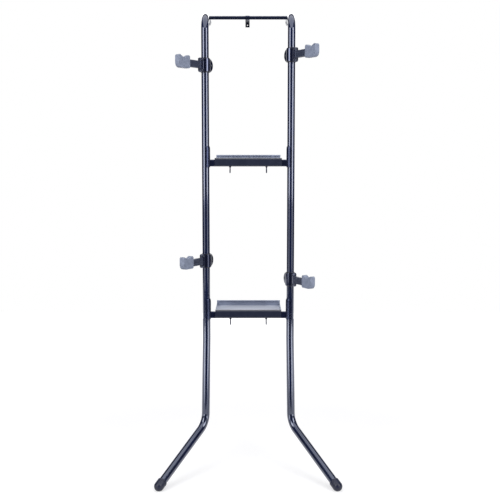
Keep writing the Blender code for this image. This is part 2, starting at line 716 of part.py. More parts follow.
def make_connector_screw(name, side, rail_top, material, root):
    """The screw from behind, through the saddle into the upright."""
    bm = bmesh.new()
    seat = Vector((side * HALF_SPACING, SADDLE_RADIUS + SADDLE_WALL + GAP, connector_screw_height(rail_top)))
    add_screw(bm, seat, Vector((0.0, -1.0, 0.0)), SADDLE_WALL + TUBE_WALL + THREAD_BITE,
              M5_RADIUS, M5_HEAD_RADIUS, M5_HEAD_HEIGHT)
    return place(name, to_mesh(name, bm), material, root)


def make_hook(name, side, rail_top, material, root):
    """A wire hook with a collar under the rail: a straight shank, then a half turn to the front."""
    x = side * HOOK_SPREAD
    bottom = rail_top - RAIL_HEIGHT
    bend_height = bottom - HOOK_DROP + HOOK_RADIUS + HOOK_WIRE_RADIUS
    points = [Vector((x, 0.0, bottom + HOOK_SHANK_IN_RAIL))]
    for k in range(BEND_STEPS + 1):
        angle = math.pi * k / BEND_STEPS
        points.append(Vector((x, -HOOK_RADIUS + HOOK_RADIUS * math.cos(angle),
                              bend_height - HOOK_RADIUS * math.sin(angle))))
    points.append(points[-1] + Vector((0.0, 0.0, HOOK_TIP)))
    wire = bmesh.new()
    rings = [add_ring(wire, frame, HOOK_WIRE_RADIUS, SCREW_SIDES) for frame in path_frames(points)]
    for first, second in zip(rings, rings[1:]):
        bridge(wire, first, second)
    wire.faces.new(list(reversed(rings[0])))
    wire.faces.new(rings[-1])
    collar = turned_solid(Vector((x, 0.0, bottom - GAP)), Vector((0.0, 0.0, -1.0)),
                          [(0.0, HOOK_COLLAR_RADIUS), (HOOK_COLLAR_HEIGHT, HOOK_COLLAR_RADIUS)], 6)
    return place(name, carved(name, wire, [("UNION", collar)], 60.0), material, root)


# Arms: each is modelled in its own frame, whose Z is the tube's axis and X the arm's

def hull_of_discs(discs, axis_start, axis_end, steps):
    """Return the convex solid round several (x, z, radius) discs, between two Y levels."""
    bm = bmesh.new()
    for x, z, radius in discs:
        for k in range(steps):
            angle = 2 * math.pi * k / steps
            for level in (axis_start, axis_end):
                bm.verts.new((x + radius * math.cos(angle), level, z + radius * math.sin(angle)))
    bmesh.ops.convex_hull(bm, input=bm.verts)
    bmesh.ops.delete(bm, geom=[vertex for vertex in bm.verts if not vertex.link_faces], context="VERTS")
    bmesh.ops.dissolve_limit(bm, angle_limit=math.radians(1.0), verts=bm.verts, edges=bm.edges)
    return bm


def clamp_screw_places():
    """Places of the clamp's three screws, as (x, z)."""
    return {"top": (CORNER_REACH, CORNER_RISE), "bottom": (CORNER_REACH, -CORNER_RISE),
            "rear": (-REAR_SCREW_SETBACK, 0.0)}


def vertical_bore(radius):
    """Return a cutter along the tube's axis, taller than a clamp."""
    return hole(Vector((0.0, 0.0, 0.0)), Vector((0.0, 0.0, 1.0)), radius, 3 * LOBE_RADIUS, TUBE_SIDES)


def half_barrel(face):
    """Return the half tube of one clamp half, open towards the parting plane."""
    steps = TUBE_SIDES // 2
    half_height = CLAMP_BARREL_HEIGHT / 2
    trim = math.asin(CLAMP_PARTING / CLAMP_BORE)
    section = [(CLAMP_BORE, -half_height), (CLAMP_OUTER, -half_height),
               (CLAMP_OUTER, half_height), (CLAMP_BORE, half_height)]
    bm = bmesh.new()
    rings = []
    for k in range(steps + 1):
        angle = face * (trim + (math.pi - 2 * trim) * k / steps)
        rings.append([bm.verts.new((radius * math.cos(angle), radius * math.sin(angle), z))
                      for radius, z in section])
    for first, second in zip(rings, rings[1:]):
        bridge(bm, first, second)
    bm.faces.new(list(reversed(rings[0])))
    bm.faces.new(rings[-1])
    return bm


def clamp_half_mesh(name, face):
    """Return one clamp half: a rounded flange with half a barrel; face is its side, +1 or -1."""
    levels = sorted((face * FLANGE_FACE, face * FLANGE_OUTSIDE))
    flange = hull_of_discs([(-LOBE_SETBACK, 0.0, LOBE_RADIUS),
                            (CORNER_REACH, CORNER_RISE, CORNER_RADIUS),
                            (CORNER_REACH, -CORNER_RISE, CORNER_RADIUS)],
                           levels[0], levels[1], TUBE_SIDES)
    pad_levels = sorted((face * CLAMP_PARTING, face * (FLANGE_FACE + FLANGE_THICKNESS / 2)))
    pad = turned_solid(Vector((-REAR_SCREW_SETBACK, pad_levels[0], 0.0)), Vector((0.0, 1.0, 0.0)),
                       [(0.0, CORNER_RADIUS), (pad_levels[1] - pad_levels[0], CORNER_RADIUS)], SMALL_SIDES)
    tools = [("DIFFERENCE", vertical_bore(CLAMP_BORE)), ("UNION", half_barrel(face)), ("UNION", pad)]
    for x, z in clamp_screw_places().values():
        centre = Vector((x, face * FLANGE_FACE, z))
        screw_hole = hole(centre, Vector((0.0, 1.0, 0.0)), M6_RADIUS + GAP, 6 * FLANGE_THICKNESS)
        tools.append(("DIFFERENCE", screw_hole))
    return carved(name, flange, tools)


def bush_mesh():
    """Return the liner that turns and slides on the tube."""
    half = Vector((0.0, 0.0, BUSH_HEIGHT / 2))
    return to_mesh("bush", tube_solid([-half, half], BUSH_OUTER, BUSH_INNER, TUBE_SIDES))


def arm_bar_mesh():
    """Return the arm: a tang between the clamp halves, then a grooved bar."""
    root = CLAMP_OUTER + GAP
    end = CRADLE_REACH + CRADLE_LENGTH / 2 - CRADLE_END_WALL - GAP
    tang = hull_of_discs([(CORNER_REACH, CORNER_RISE, CORNER_RADIUS - GAP),
                          (CORNER_REACH, -CORNER_RISE, CORNER_RADIUS - GAP)],
                         -TANG_THICKNESS / 2, TANG_THICKNESS / 2, 2 * SCREW_SIDES)
    start = CORNER_REACH + CORNER_RADIUS + GAP
    bar = box_solid((start, -ARM_WIDTH / 2, -ARM_HEIGHT / 2), (end, ARM_WIDTH / 2, ARM_HEIGHT / 2))
    long_edges = [edge for edge in bar.edges if abs(edge.verts[0].co.x - edge.verts[1].co.x) > ARM_WIDTH]
    bmesh.ops.bevel(bar, geom=long_edges, offset=ARM_EDGE, segments=2, affect="EDGES")
    neck = box_solid((CORNER_REACH, -TANG_THICKNESS / 2, -ARM_HEIGHT / 2),
                     (start + ARM_EDGE, TANG_THICKNESS / 2, ARM_HEIGHT / 2))
    tools = [("DIFFERENCE", vertical_bore(root)), ("UNION", neck), ("UNION", bar)]
    for rise in (-CORNER_RISE, CORNER_RISE):
        centre = Vector((CORNER_REACH, 0.0, rise))
        screw_hole = hole(centre, Vector((0.0, 1.0, 0.0)), M6_RADIUS + GAP, 2 * TANG_THICKNESS)
        tools.append(("DIFFERENCE", screw_hole))
    groove_end = CRADLE_REACH - CRADLE_LENGTH / 2 - ARM_EDGE
    for face in (-1, 1):
        for row in (-1, 0, 1):
            middle = row * ARM_GROOVE_PITCH
            deep = face * (ARM_WIDTH / 2 - ARM_GROOVE_DEPTH)
            outside = face * ARM_WIDTH
            groove = box_solid((start + ARM_EDGE, min(deep, outside), middle - ARM_GROOVE_HEIGHT / 2),
                               (groove_end, max(deep, outside), middle + ARM_GROOVE_HEIGHT / 2))
            tools.append(("DIFFERENCE", groove))
    return carved("arm_bar", tang, tools)


def cradle_outline():
    """Return the cradle's side view, as (x, z) from its inner end and the arm's axis."""
    left = CRADLE_REACH - CRADLE_LENGTH / 2
    right = CRADLE_REACH + CRADLE_LENGTH / 2
    bottom = -ARM_HEIGHT / 2 - CRADLE_BELOW_ARM
    horn = CRADLE_HORN_WIDTH
    return rounded_outline([(left, bottom, CRADLE_ROOT_RADIUS), (right, bottom, CRADLE_TOE_RADIUS),
                            (right, CRADLE_HORN, CRADLE_HORN_RADIUS),
                            (right - horn, CRADLE_HORN, CRADLE_HORN_RADIUS),
                            (CRADLE_REACH, CRADLE_SEAT, CRADLE_NOTCH_RADIUS),
                            (left + horn, CRADLE_HORN, CRADLE_HORN_RADIUS),
                            (left, CRADLE_HORN, CRADLE_HORN_RADIUS)], CORNER_STEPS)


def cradle_flare(turn_deg):
    """Return the wedge that opens the notch for a tube that crosses it at an angle."""
    half = CRADLE_LENGTH / 2 - CRADLE_HORN_WIDTH
    slope = half / (CRADLE_HORN - CRADLE_SEAT)
    rise = CRADLE_LENGTH / 2
    outline = [(CRADLE_REACH, CRADLE_FLARE_SEAT),
               (CRADLE_REACH + slope * rise, CRADLE_FLARE_SEAT + rise),
               (CRADLE_REACH - slope * rise, CRADLE_FLARE_SEAT + rise)]
    wedge = prism(outline, "Y", -CRADLE_LENGTH, CRADLE_LENGTH)
    turn = Matrix.Rotation(math.radians(turn_deg), 3, "Z")
    bmesh.ops.rotate(wedge, cent=(CRADLE_REACH, 0.0, 0.0), matrix=turn, verts=wedge.verts)
    return wedge


def cradle_mesh():
    """Return the moulded saddle that is pushed over the arm's end."""
    body = prism(cradle_outline(), "Y", -CRADLE_WIDTH / 2, CRADLE_WIDTH / 2)
    rim = [edge for edge in body.edges if abs(edge.verts[0].co.y - edge.verts[1].co.y) < CRADLE_EDGE]
    bmesh.ops.bevel(body, geom=rim, offset=CRADLE_EDGE, segments=1, affect="EDGES")
    left = CRADLE_REACH - CRADLE_LENGTH / 2
    right = CRADLE_REACH + CRADLE_LENGTH / 2 - CRADLE_END_WALL
    pocket = box_solid((left - CRADLE_END_WALL, -ARM_WIDTH / 2 - GAP, -ARM_HEIGHT / 2 - GAP),
                       (right, ARM_WIDTH / 2 + GAP, ARM_HEIGHT / 2 + GAP))
    return carved("cradle", body, [("DIFFERENCE", cradle_flare(CRADLE_FLARE_DEG)),
                                   ("DIFFERENCE", cradle_flare(-CRADLE_FLARE_DEG)),
                                   ("DIFFERENCE", pocket)])


def clamp_screw_mesh(face):
    """Return one clamp screw: its head on the near half, its thread in the far one."""
    bm = bmesh.new()
    seat = Vector((0.0, face * (FLANGE_OUTSIDE + GAP), 0.0))
    length = 2 * FLANGE_OUTSIDE - CLAMP_SCREW_SHORT
    add_screw(bm, seat, Vector((0.0, -face, 0.0)), length, M6_RADIUS, M6_HEAD_RADIUS, M6_HEAD_HEIGHT)
    return to_mesh("clamp_screw", bm)


def make_arms(materials, root):
    """Four arms; the clamp half with the screw heads is the one that faces the rack's middle."""
    bush = bush_mesh()
    halves = {face: clamp_half_mesh("clamp_half_" + ("a" if face > 0 else "b"), face) for face in (-1, 1)}
    bar = arm_bar_mesh()
    cradle = cradle_mesh()
    screws = {face: clamp_screw_mesh(face) for face in (-1, 1)}
    for name, arm in ARMS.items():
        side = arm["side"]
        swing = math.radians(arm["swing_deg"])
        turn = math.atan2(-math.cos(swing), side * math.sin(swing))
        pivot = Vector((side * HALF_SPACING, 0.0, arm["level"] + arm["rise"]))
        slider = make_empty(name + "_height", root, pivot)
        hub = make_empty(name + "_swing", slider, (0.0, 0.0, 0.0), turn)
        inner_face = -side
        place(name + "_bush", bush, materials["nylon"], slider)
        place(name + "_clamp_front", halves[inner_face], materials["clamp"], hub)
        place(name + "_clamp_back", halves[-inner_face], materials["clamp"], hub)
        place(name + "_arm", bar, materials["arm"], hub)
        place(name + "_cradle", cradle, materials["cradle"], hub)
        for label, (x, z) in clamp_screw_places().items():
            place(name + "_" + label + "_screw", screws[inner_face], materials["zinc"], hub, (x, 0.0, z))


def make_materials():
    """The materials by their short names."""
    return {
        "tube": make_material("powder_coated_steel", (0.022, 0.026, 0.045), 0.22, 0.0),
        "rail": make_material("powder_coated_rail", (0.030, 0.035, 0.055), 0.28, 0.0),
        "tray": make_material("blue_grey_coated_sheet", (0.17, 0.19, 0.24), 0.38, 0.5),
        "bar": make_material("black_bar", (0.004, 0.004, 0.006), 0.35, 0.0),
        "connector": make_material("black_moulding", (0.008, 0.009, 0.014), 0.45, 0.0),
        "clamp": make_material("black_casting", (0.012, 0.014, 0.024), 0.30, 0.0),
        "arm": make_material("grey_moulding", (0.055, 0.062, 0.090), 0.50, 0.0),
        "cradle": make_material("blue_grey_rubber", (0.24, 0.27, 0.35), 0.60, 0.0),
        "nylon": make_material("nylon", (0.03, 0.03, 0.03), 0.50, 0.0),
        "foot": make_material("black_rubber", (0.010, 0.011, 0.018), 0.55, 0.0),
        "pale": make_material("pale_rubber", (0.62, 0.62, 0.66), 0.60, 0.0),
        "zinc": make_material("zinc_plated_steel", (0.55, 0.56, 0.58), 0.35, 1.0),
    }


def build():
    """Build every piece under one root, so that the origin is the footprint's centre."""
    clear_scene()
    materials = make_materials()
    root = make_empty("rack", None, (0.0, -ORIGIN_Y, 0.0))
    for label, side in (("left", -1), ("right", 1)):
        make_upright(label + "_upright", side, materials["tube"], root)
        make_leg(label + "_leg", side, materials["tube"], root)
        make_foot_cap(label + "_foot_cap", side, materials["foot"], root)
        make_wall_cap(label + "_wall_cap", side, materials["pale"], root)
    make_top_bar(materials["bar"], root)
    make_wall_bracket(materials["bar"], root)
    make_bracket_screw(materials["zinc"], root)
    make_bracket_nut(materials["zinc"], root)
    for level, rail_top in (("upper", UPPER_RAIL_TOP), ("lower", LOWER_RAIL_TOP)):
        make_rail(level + "_rail", rail_top, materials["rail"], root)
        make_tray(level + "_tray", rail_top, materials["tray"], root)
        for label, side in (("left", -1), ("right", 1)):
            make_connector(level + "_" + label + "_connector", side, rail_top, materials["connector"], root)
            make_connector_screw(level + "_" + label + "_connector_screw", side, rail_top,
                                 materials["zinc"], root)
            make_hook(level + "_" + label + "_hook", side, rail_top, materials["bar"], root)
    make_arms(materials, root)


build()
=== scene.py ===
"""Dresses the two-tier bicycle rack: its tubes, shelves, hooks and cradle arms.

Lengths are in metres. Shapes are laid out with the uprights' axes at y = 0 and moved back
by AXIS_Y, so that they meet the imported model. The viewer is at -Y and the wall at +Y.
"""
import logging
import math
from dataclasses import dataclass, field
from enum import Enum
from typing import Any, Callable, Optional, Sequence

import bmesh
import bpy
from mathutils import Matrix, Vector


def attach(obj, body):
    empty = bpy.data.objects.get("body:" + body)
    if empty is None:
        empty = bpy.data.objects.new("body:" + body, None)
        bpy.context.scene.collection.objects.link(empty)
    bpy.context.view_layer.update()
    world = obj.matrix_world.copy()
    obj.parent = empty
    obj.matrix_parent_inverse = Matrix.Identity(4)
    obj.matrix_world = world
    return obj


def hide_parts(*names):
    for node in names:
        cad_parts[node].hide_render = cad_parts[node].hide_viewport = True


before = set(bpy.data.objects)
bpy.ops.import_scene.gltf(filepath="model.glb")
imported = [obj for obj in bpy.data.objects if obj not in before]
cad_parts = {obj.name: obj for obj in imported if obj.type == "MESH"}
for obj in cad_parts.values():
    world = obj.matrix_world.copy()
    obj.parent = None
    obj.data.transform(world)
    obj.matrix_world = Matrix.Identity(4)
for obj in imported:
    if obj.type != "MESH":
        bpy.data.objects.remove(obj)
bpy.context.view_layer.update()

LOG = logging.getLogger("bike_rack")

AXIS_Y = 0.06675
GAP = 0.0003
MM = 0.001

# Sizes that several sub-assemblies share
HALF_SPACING = 0.199
TUBE_RADIUS = 0.0175
RUN_HEIGHT = 2.131

# Edges sharper than these stay crisp when a mesh is shaded
CRISP_DEG = 32.0
RUBBER_CRISP_DEG = 38.0

# How far a long cutter reaches past what it cuts
FAR_THROUGH = 0.1

X_AXIS = Vector((1.0, 0.0, 0.0))
Y_AXIS = Vector((0.0, 1.0, 0.0))
Z_AXIS = Vector((0.0, 0.0, 1.0))

Point2 = tuple[float, float]
Corner = tuple[float, float, float]
Profile = Sequence[Point2]
Solid = bmesh.types.BMesh
Loop = Sequence[bmesh.types.BMVert]
Tree = bpy.types.NodeTree
Socket = bpy.types.NodeSocket


class Named(Enum):
    """A choice whose name is a word of piece names."""

    @property
    def word(self) -> str:
        """Return the name as the pieces have it."""
        return self.name.lower()


class Side(Named):
    """The rack's two sides, as the sign of x."""

    LEFT = -1
    RIGHT = 1


class Level(Named):
    """The two shelves, by the height of the rail's top."""

    UPPER = 1.480
    LOWER = 0.761


class Operation(Enum):
    """What a second solid does to the first."""

    CUT = "DIFFERENCE"
    JOIN = "UNION"


Step = tuple[Operation, Solid]


# Materials


def linear(hex_colour: str) -> tuple[float, float, float, float]:
    """Turn an sRGB hex colour into the linear colour that the shaders take.

    Args:
        hex_colour: six hex digits after a hash.

    Returns:
        Linear red, green and blue, and an alpha of 1.
    """
    values = []
    for start in (1, 3, 5):
        value = int(hex_colour[start:start + 2], 16) / 255
        values.append(value / 12.92 if value <= 0.04045 else ((value + 0.055) / 1.055) ** 2.4)
    return values[0], values[1], values[2], 1.0


def per_metre(size_mm: float) -> float:
    """Return the texture scale at which one pattern cell is size_mm wide."""
    return 1.0 / (size_mm * MM)


def add_node(tree: Tree, kind: str, settings: Optional[dict[str, Any]] = None,
             inputs: Optional[dict[Any, Any]] = None) -> bpy.types.Node:
    """Add one node, with its settings, and set or link its inputs.

    Args:
        tree: the material's node tree.
        kind: the node's type name.
        settings: attribute values.
        inputs: a value, or a socket to link from, for each input's name or index.

    Returns:
        The new node.
    """
    node = tree.nodes.new(kind)
    for name, value in (settings or {}).items():
        setattr(node, name, value)
    for key, value in (inputs or {}).items():
        if isinstance(value, Socket):
            tree.links.new(value, node.inputs[key])
        else:
            node.inputs[key].default_value = value
    return node


@dataclass(frozen=True)
class Finish:
    """A surface: two close colours in patches, a roughness that wanders, and a fine relief.

    Sizes in mm are those of the colour's patches, of the smears in the gloss, and of the
    relief's grain. A tinted gloss gets a little less strength, and dust shows at low angles.
    """

    name: str
    slot: str
    colour: str
    second_colour: str
    patch_mm: float
    roughness: Point2
    smear_mm: float
    grain_mm: float
    grain_depth_mm: float
    metallic: float = 0.0
    coat: float = 0.0
    coat_roughness: float = 0.05
    ior: float = 1.5
    gloss_tint: Optional[str] = None
    gloss_level: float = 0.9
    dust: float = 0.0
    dust_roughness: float = 0.4
    dust_colour: str = "#f2f6ff"
    stretch: Corner = (1.0, 1.0, 1.0)

    def constants(self) -> dict[str, Any]:
        """Return the shader's plain values by socket.

        Returns:
            A value for each socket that this finish sets.
        """
        values = {"Metallic": self.metallic, "IOR": self.ior}
        if self.gloss_tint:
            values.update({"Specular Tint": linear(self.gloss_tint), "Specular IOR Level": self.gloss_level})
        if self.coat:
            values.update({"Coat Weight": self.coat, "Coat Roughness": self.coat_roughness,
                           "Coat IOR": self.ior})
        if self.dust:
            values.update({"Sheen Weight": self.dust, "Sheen Roughness": self.dust_roughness,
                           "Sheen Tint": linear(self.dust_colour)})
        return values

    def build(self) -> bpy.types.Material:
        """Make the material once and return it on every later call.

        Returns:
            The Blender material of this finish.
        """
        ready = bpy.data.materials.get(self.name)
        if ready is not None:
            return ready
        material = bpy.data.materials.new(self.name)
        material.use_nodes = True
        tree = material.node_tree
        shader = tree.nodes["Principled BSDF"]
        for socket, value in self.constants().items():
            shader.inputs[socket].default_value = value
        coords = add_node(tree, "ShaderNodeTexCoord").outputs["Object"]
        stretched = add_node(tree, "ShaderNodeMapping", inputs={"Vector": coords, "Scale": self.stretch})
        self.dress(tree, shader, stretched.outputs["Vector"])
        return material

    def dress(self, tree: Tree, shader: bpy.types.Node, coords: Socket) -> None:
        """Link colour, roughness and relief to the shader.

        Args:
            tree: the material's node tree.
            shader: its Principled shader.
            coords: the coordinates that the patterns follow.
        """
        patches = add_node(tree, "ShaderNodeTexNoise", inputs={
            "Vector": coords, "Scale": per_metre(self.patch_mm), "Detail": 3.0, "Roughness": 0.5})
        spread = add_node(tree, "ShaderNodeMapRange", inputs={
            "Value": patches.outputs["Fac"], "From Min": 0.35, "From Max": 0.65})
        colour = add_node(tree, "ShaderNodeMix", {"data_type": "RGBA"}, {
            "Factor": spread.outputs["Result"], 6: linear(self.colour), 7: linear(self.second_colour)})
        smears = add_node(tree, "ShaderNodeTexNoise", inputs={
            "Vector": coords, "Scale": per_metre(self.smear_mm), "Detail": 4.0, "Roughness": 0.6})
        gloss = add_node(tree, "ShaderNodeMapRange", inputs={
            "Value": smears.outputs["Fac"], "From Min": 0.3, "From Max": 0.7,
            "To Min": self.roughness[0], "To Max": self.roughness[1]})
        bump = add_node(tree, "ShaderNodeBump", inputs={
            "Height": self.relief(tree, coords), "Distance": self.grain_depth_mm * MM, "Strength": 1.0})
        tree.links.new(colour.outputs[2], shader.inputs["Base Color"])
        tree.links.new(gloss.outputs["Result"], shader.inputs["Roughness"])
        tree.links.new(bump.outputs["Normal"], shader.inputs["Normal"])

    def relief(self, tree: Tree, coords: Socket) -> Socket:
        """Return the height pattern of the surface, from 0 to 1.

        Args:
            tree: the material's node tree.
            coords: the coordinates that the pattern follows.

        Returns:
            The socket that holds the height.
        """
        grain = add_node(tree, "ShaderNodeTexNoise", inputs={
            "Vector": coords, "Scale": per_metre(self.grain_mm), "Detail": 2.0, "Roughness": 0.5})
        return grain.outputs["Fac"]


@dataclass(frozen=True)
class PebbledFinish(Finish):
    """A moulded surface with the rounded pebbles of an eroded mould."""

    def relief(self, tree: Tree, coords: Socket) -> Socket:
        """Return the height pattern: one rounded bump per cell.

        Args:
            tree: the material's node tree.
            coords: the coordinates that the pattern follows.

        Returns:
            The socket that holds the height.
        """
        cells = add_node(tree, "ShaderNodeTexVoronoi", {"feature": "SMOOTH_F1"}, {
            "Vector": coords, "Scale": per_metre(self.grain_mm), "Smoothness": 0.6})
        height = add_node(tree, "ShaderNodeMapRange", inputs={
            "Value": cells.outputs["Distance"], "From Min": 0.0, "From Max": 0.7,
            "To Min": 1.0, "To Max": 0.0})
        return height.outputs["Result"]


# Polyester powder coat on drawn steel tube: baked glossy, so it mirrors the lamps as long
# stripes, and its orange peel of about 2 mm makes their edges waver.
TUBE_COAT = Finish("polyester_powder_coat_on_drawn_tube", "tube_coat", "#09112c", "#0c1636", 60.0,
                   (0.10, 0.14), 25.0, 2.2, 0.0004, coat=0.5, coat_roughness=0.05, ior=1.6,
                   gloss_tint="#d9e2ff")
# The same powder on the oval rails: less glossy, so its flat front shows a wide, milky sheen.
SHEET_COAT = Finish("polyester_powder_coat_on_oval_rail", "sheet_coat", "#1b2032", "#1f2437", 45.0,
                    (0.28, 0.36), 18.0, 1.8, 0.002, coat=0.6, coat_roughness=0.20)
# Blue-grey metallic powder on the trays: the lip stays dark, and the fine dust on the floor
# turns it pale at a low angle.
TRAY_COAT = Finish("metallic_powder_coat_on_folded_tray", "tray_coat", "#7e869c", "#878fa5", 45.0,
                   (0.50, 0.58), 18.0, 1.8, 0.002, metallic=0.25, coat=0.3, coat_roughness=0.40,
                   dust=1.0)
# Black powder on small bent steel: thin, satin, and a little uneven at the bends.
BLACK_COAT = Finish("black_powder_coat_on_bent_steel", "black_steel", "#05070f", "#080b16", 12.0,
                    (0.22, 0.32), 8.0, 1.2, 0.002, gloss_tint="#8496d8")
# Injection-moulded nylon from a spark-eroded mould: blue black, with a low gloss over a fine
# grain.
BLACK_NYLON = PebbledFinish("spark_eroded_moulded_nylon", "black_moulding", "#060a1c", "#090e26", 15.0,
                            (0.24, 0.32), 10.0, 0.9, 0.003, gloss_tint="#bccaff")
# Die-cast zinc under a smooth powder coat: glossy, so the tube's stripes run on across the
# clamp.
CLAMP_COAT = Finish("powder_coated_zinc_die_casting", "clamp_casting", "#070b20", "#0a0f28", 14.0,
                    (0.08, 0.12), 9.0, 1.4, 0.0004, coat=0.5, coat_roughness=0.04, ior=1.6,
                    gloss_tint="#c4d0ff")
# Glass-filled nylon arm, moulded: navy grey, with flow marks along the arm.
ARM_NYLON = PebbledFinish("moulded_glass_filled_nylon", "arm_moulding", "#2a3044", "#33394d", 14.0,
                          (0.42, 0.54), 9.0, 0.8, 0.008, stretch=(0.35, 1.0, 1.0))
# Soft thermoplastic rubber: blue grey and matt, with a faint bloom that lightens it in clouds.
CRADLE_RUBBER = PebbledFinish("moulded_soft_thermoplastic_rubber", "cradle_rubber", "#747c90", "#81899e",
                              16.0, (0.52, 0.66), 12.0, 0.8, 0.008)
# Plain black nylon liner, turned from bar, a little shiny from the tube it slides on.
BUSH_NYLON = Finish("turned_black_nylon", "bush_nylon", "#17181c", "#1d1e23", 8.0,
                    (0.34, 0.44), 6.0, 0.7, 0.002)
# Navy moulded rubber foot: satin, slightly greyed where it has rubbed on the floor.
FOOT_RUBBER = PebbledFinish("moulded_navy_rubber", "foot_rubber", "#0f152e", "#151c38", 10.0,
                            (0.32, 0.42), 8.0, 1.0, 0.004)
# Pale grey non-marking rubber: soft, with a powdery look.
PALE_RUBBER = PebbledFinish("moulded_non_marking_rubber", "pale_rubber", "#c4c5ca", "#d0d1d5", 10.0,
                            (0.55, 0.68), 8.0, 0.9, 0.008)
# Zinc plating with a black passivate on cold-headed steel: dark, with a glint at the head's
# edges.
ZINC_PLATE = Finish("black_passivated_zinc_on_cold_headed_steel", "zinc_steel", "#4a4e59", "#41454f", 5.0,
                    (0.26, 0.38), 3.0, 0.6, 0.0015, metallic=1.0)


# Mesh tools


def ring(bm: Solid, place: Matrix, radius: float, sides: int) -> Loop:
    """Add a circle of vertices about a frame's Z axis.

    Args:
        bm: the mesh that takes them.
        place: the circle's frame.
        radius: the circle's radius.
        sides: how many vertices it has.

    Returns:
        The vertices in order.
    """
    turn = 2 * math.pi / sides
    return [bm.verts.new(place @ Vector((radius * math.cos(turn * k), radius * math.sin(turn * k), 0.0)))
            for k in range(sides)]


def bridge(bm: Solid, first: Loop, second: Loop) -> None:
    """Join two closed loops of as many vertices with quads.

    Args:
        bm: the mesh that holds both.
        first: one loop.
        second: the other loop, in the same order.
    """
    count = len(first)
    for k in range(count):
        after = (k + 1) % count
        bm.faces.new((first[k], first[after], second[after], second[k]))


def skin(bm: Solid, loops: Sequence[Loop], closed: bool = False) -> Solid:
    """Join loops one after the other into the skin of a solid.

    Args:
        bm: the mesh that holds them.
        loops: the loops, from one end to the other.
        closed: whether the last loop joins the first. Flat faces close the ends otherwise.

    Returns:
        The same mesh.
    """
    for first, second in zip(loops, loops[1:]):
        bridge(bm, first, second)
    if closed:
        bridge(bm, loops[-1], loops[0])
    else:
        bm.faces.new(loops[0][::-1])
        bm.faces.new(loops[-1])
    return bm


def aimed(point: Vector, direction: Vector, towards: Vector) -> Matrix:
    """Return a frame at a point with Z along direction and X as near towards as it can be.

    Args:
        point: the frame's origin.
        direction: where its Z axis points.
        towards: where its X axis leans.

    Returns:
        The frame.
    """
    along = direction.normalized()
    across = (towards - along * towards.dot(along)).normalized()
    turn = Matrix((across, along.cross(across), along)).transposed().to_4x4()
    return Matrix.Translation(point) @ turn


def moved(place: Matrix, distance: float) -> Matrix:
    """Return a frame moved along its own Z axis."""
    return place @ Matrix.Translation((0.0, 0.0, distance))


def path_frames(points: Sequence[Vector], closed: bool = False) -> list[Matrix]:
    """Return a frame at each point of a path, carried along without twist.

    Args:
        points: the path.
        closed: whether the last point joins the first.

    Returns:
        One frame for each point, with Z along the path.
    """
    count = len(points)
    start = (points[1] - points[0]).normalized()
    side = Y_AXIS if abs(start.x) > 0.9 else X_AXIS
    frames = []
    for index, point in enumerate(points):
        before = points[index - 1] if closed else points[max(index - 1, 0)]
        after = points[(index + 1) % count] if closed else points[min(index + 1, count - 1)]
        direction = Vector()
        if before != point:
            direction += (point - before).normalized()
        if after != point:
            direction += (after - point).normalized()
        place = aimed(point, direction, side)
        side = place.to_3x3() @ X_AXIS
        frames.append(place)
    return frames


def bend(before: Vector, corner: Vector, after: Vector, radius: float, steps: int) -> list[Vector]:
    """Return the points of one rounded corner, in a plane or in space.

    Args:
        before: the corner before it.
        corner: the corner.
        after: the corner after it.
        radius: the bend's radius.
        steps: how many pieces the bend has.

    Returns:
        The bend's points.
    """
    inward = (corner - before).normalized()
    outward = (after - corner).normalized()
    turn = inward.angle(outward)
    normal = (outward - inward * outward.dot(inward)).normalized()
    centre = corner - inward * (radius * math.tan(turn / 2)) + normal * radius
    angles = [turn * k / steps for k in range(steps + 1)]
    return [centre - normal * (radius * math.cos(angle)) + inward * (radius * math.sin(angle))
            for angle in angles]


def arc_path(corners: Sequence[Vector], radius: float, steps: int) -> list[Vector]:
    """Return a path through the corners, with each inner corner rounded.

    Args:
        corners: the path's ends and corners.
        radius: the radius of every bend.
        steps: how many pieces each bend has.

    Returns:
        The points of the path.
    """
    points = [corners[0]]
    for before, corner, after in zip(corners, corners[1:], corners[2:]):
        points += bend(before, corner, after, radius, steps)
    return [*points, corners[-1]]


def section_path(corners: Profile, radius: float, steps: int) -> list[Point2]:
    """Return a flat path with each inner corner rounded, as arc_path does in space."""
    return [tuple(point) for point in arc_path([Vector(corner) for corner in corners], radius, steps)]


def rounded_outline(corners: Sequence[Corner], steps: int) -> list[Point2]:
    """Round each corner of a closed outline by its own radius.

    Args:
        corners: (x, y, radius) of each corner.
        steps: how many pieces each corner has.

    Returns:
        The outline's points.
    """
    places = [Vector(corner[:2]) for corner in corners]
    outline = []
    for index, (corner, (_, _, radius)) in enumerate(zip(places, corners)):
        after = places[(index + 1) % len(places)]
        outline += [tuple(point) for point in bend(places[index - 1], corner, after, radius, steps)]
    return outline


def rounded_rectangle(low: Point2, high: Point2, radii: Point2, steps: int) -> list[Point2]:
    """Return the outline of a rectangle with rounded corners.

    Args:
        low: its lowest corner.
        high: its highest corner.
        radii: the radius of the two low corners, and that of the two high ones.
        steps: how many pieces each corner has.

    Returns:
        The outline's points.
    """
    return rounded_outline([(*low, radii[0]), (high[0], low[1], radii[0]), (*high, radii[1]),
                            (low[0], high[1], radii[1])], steps)


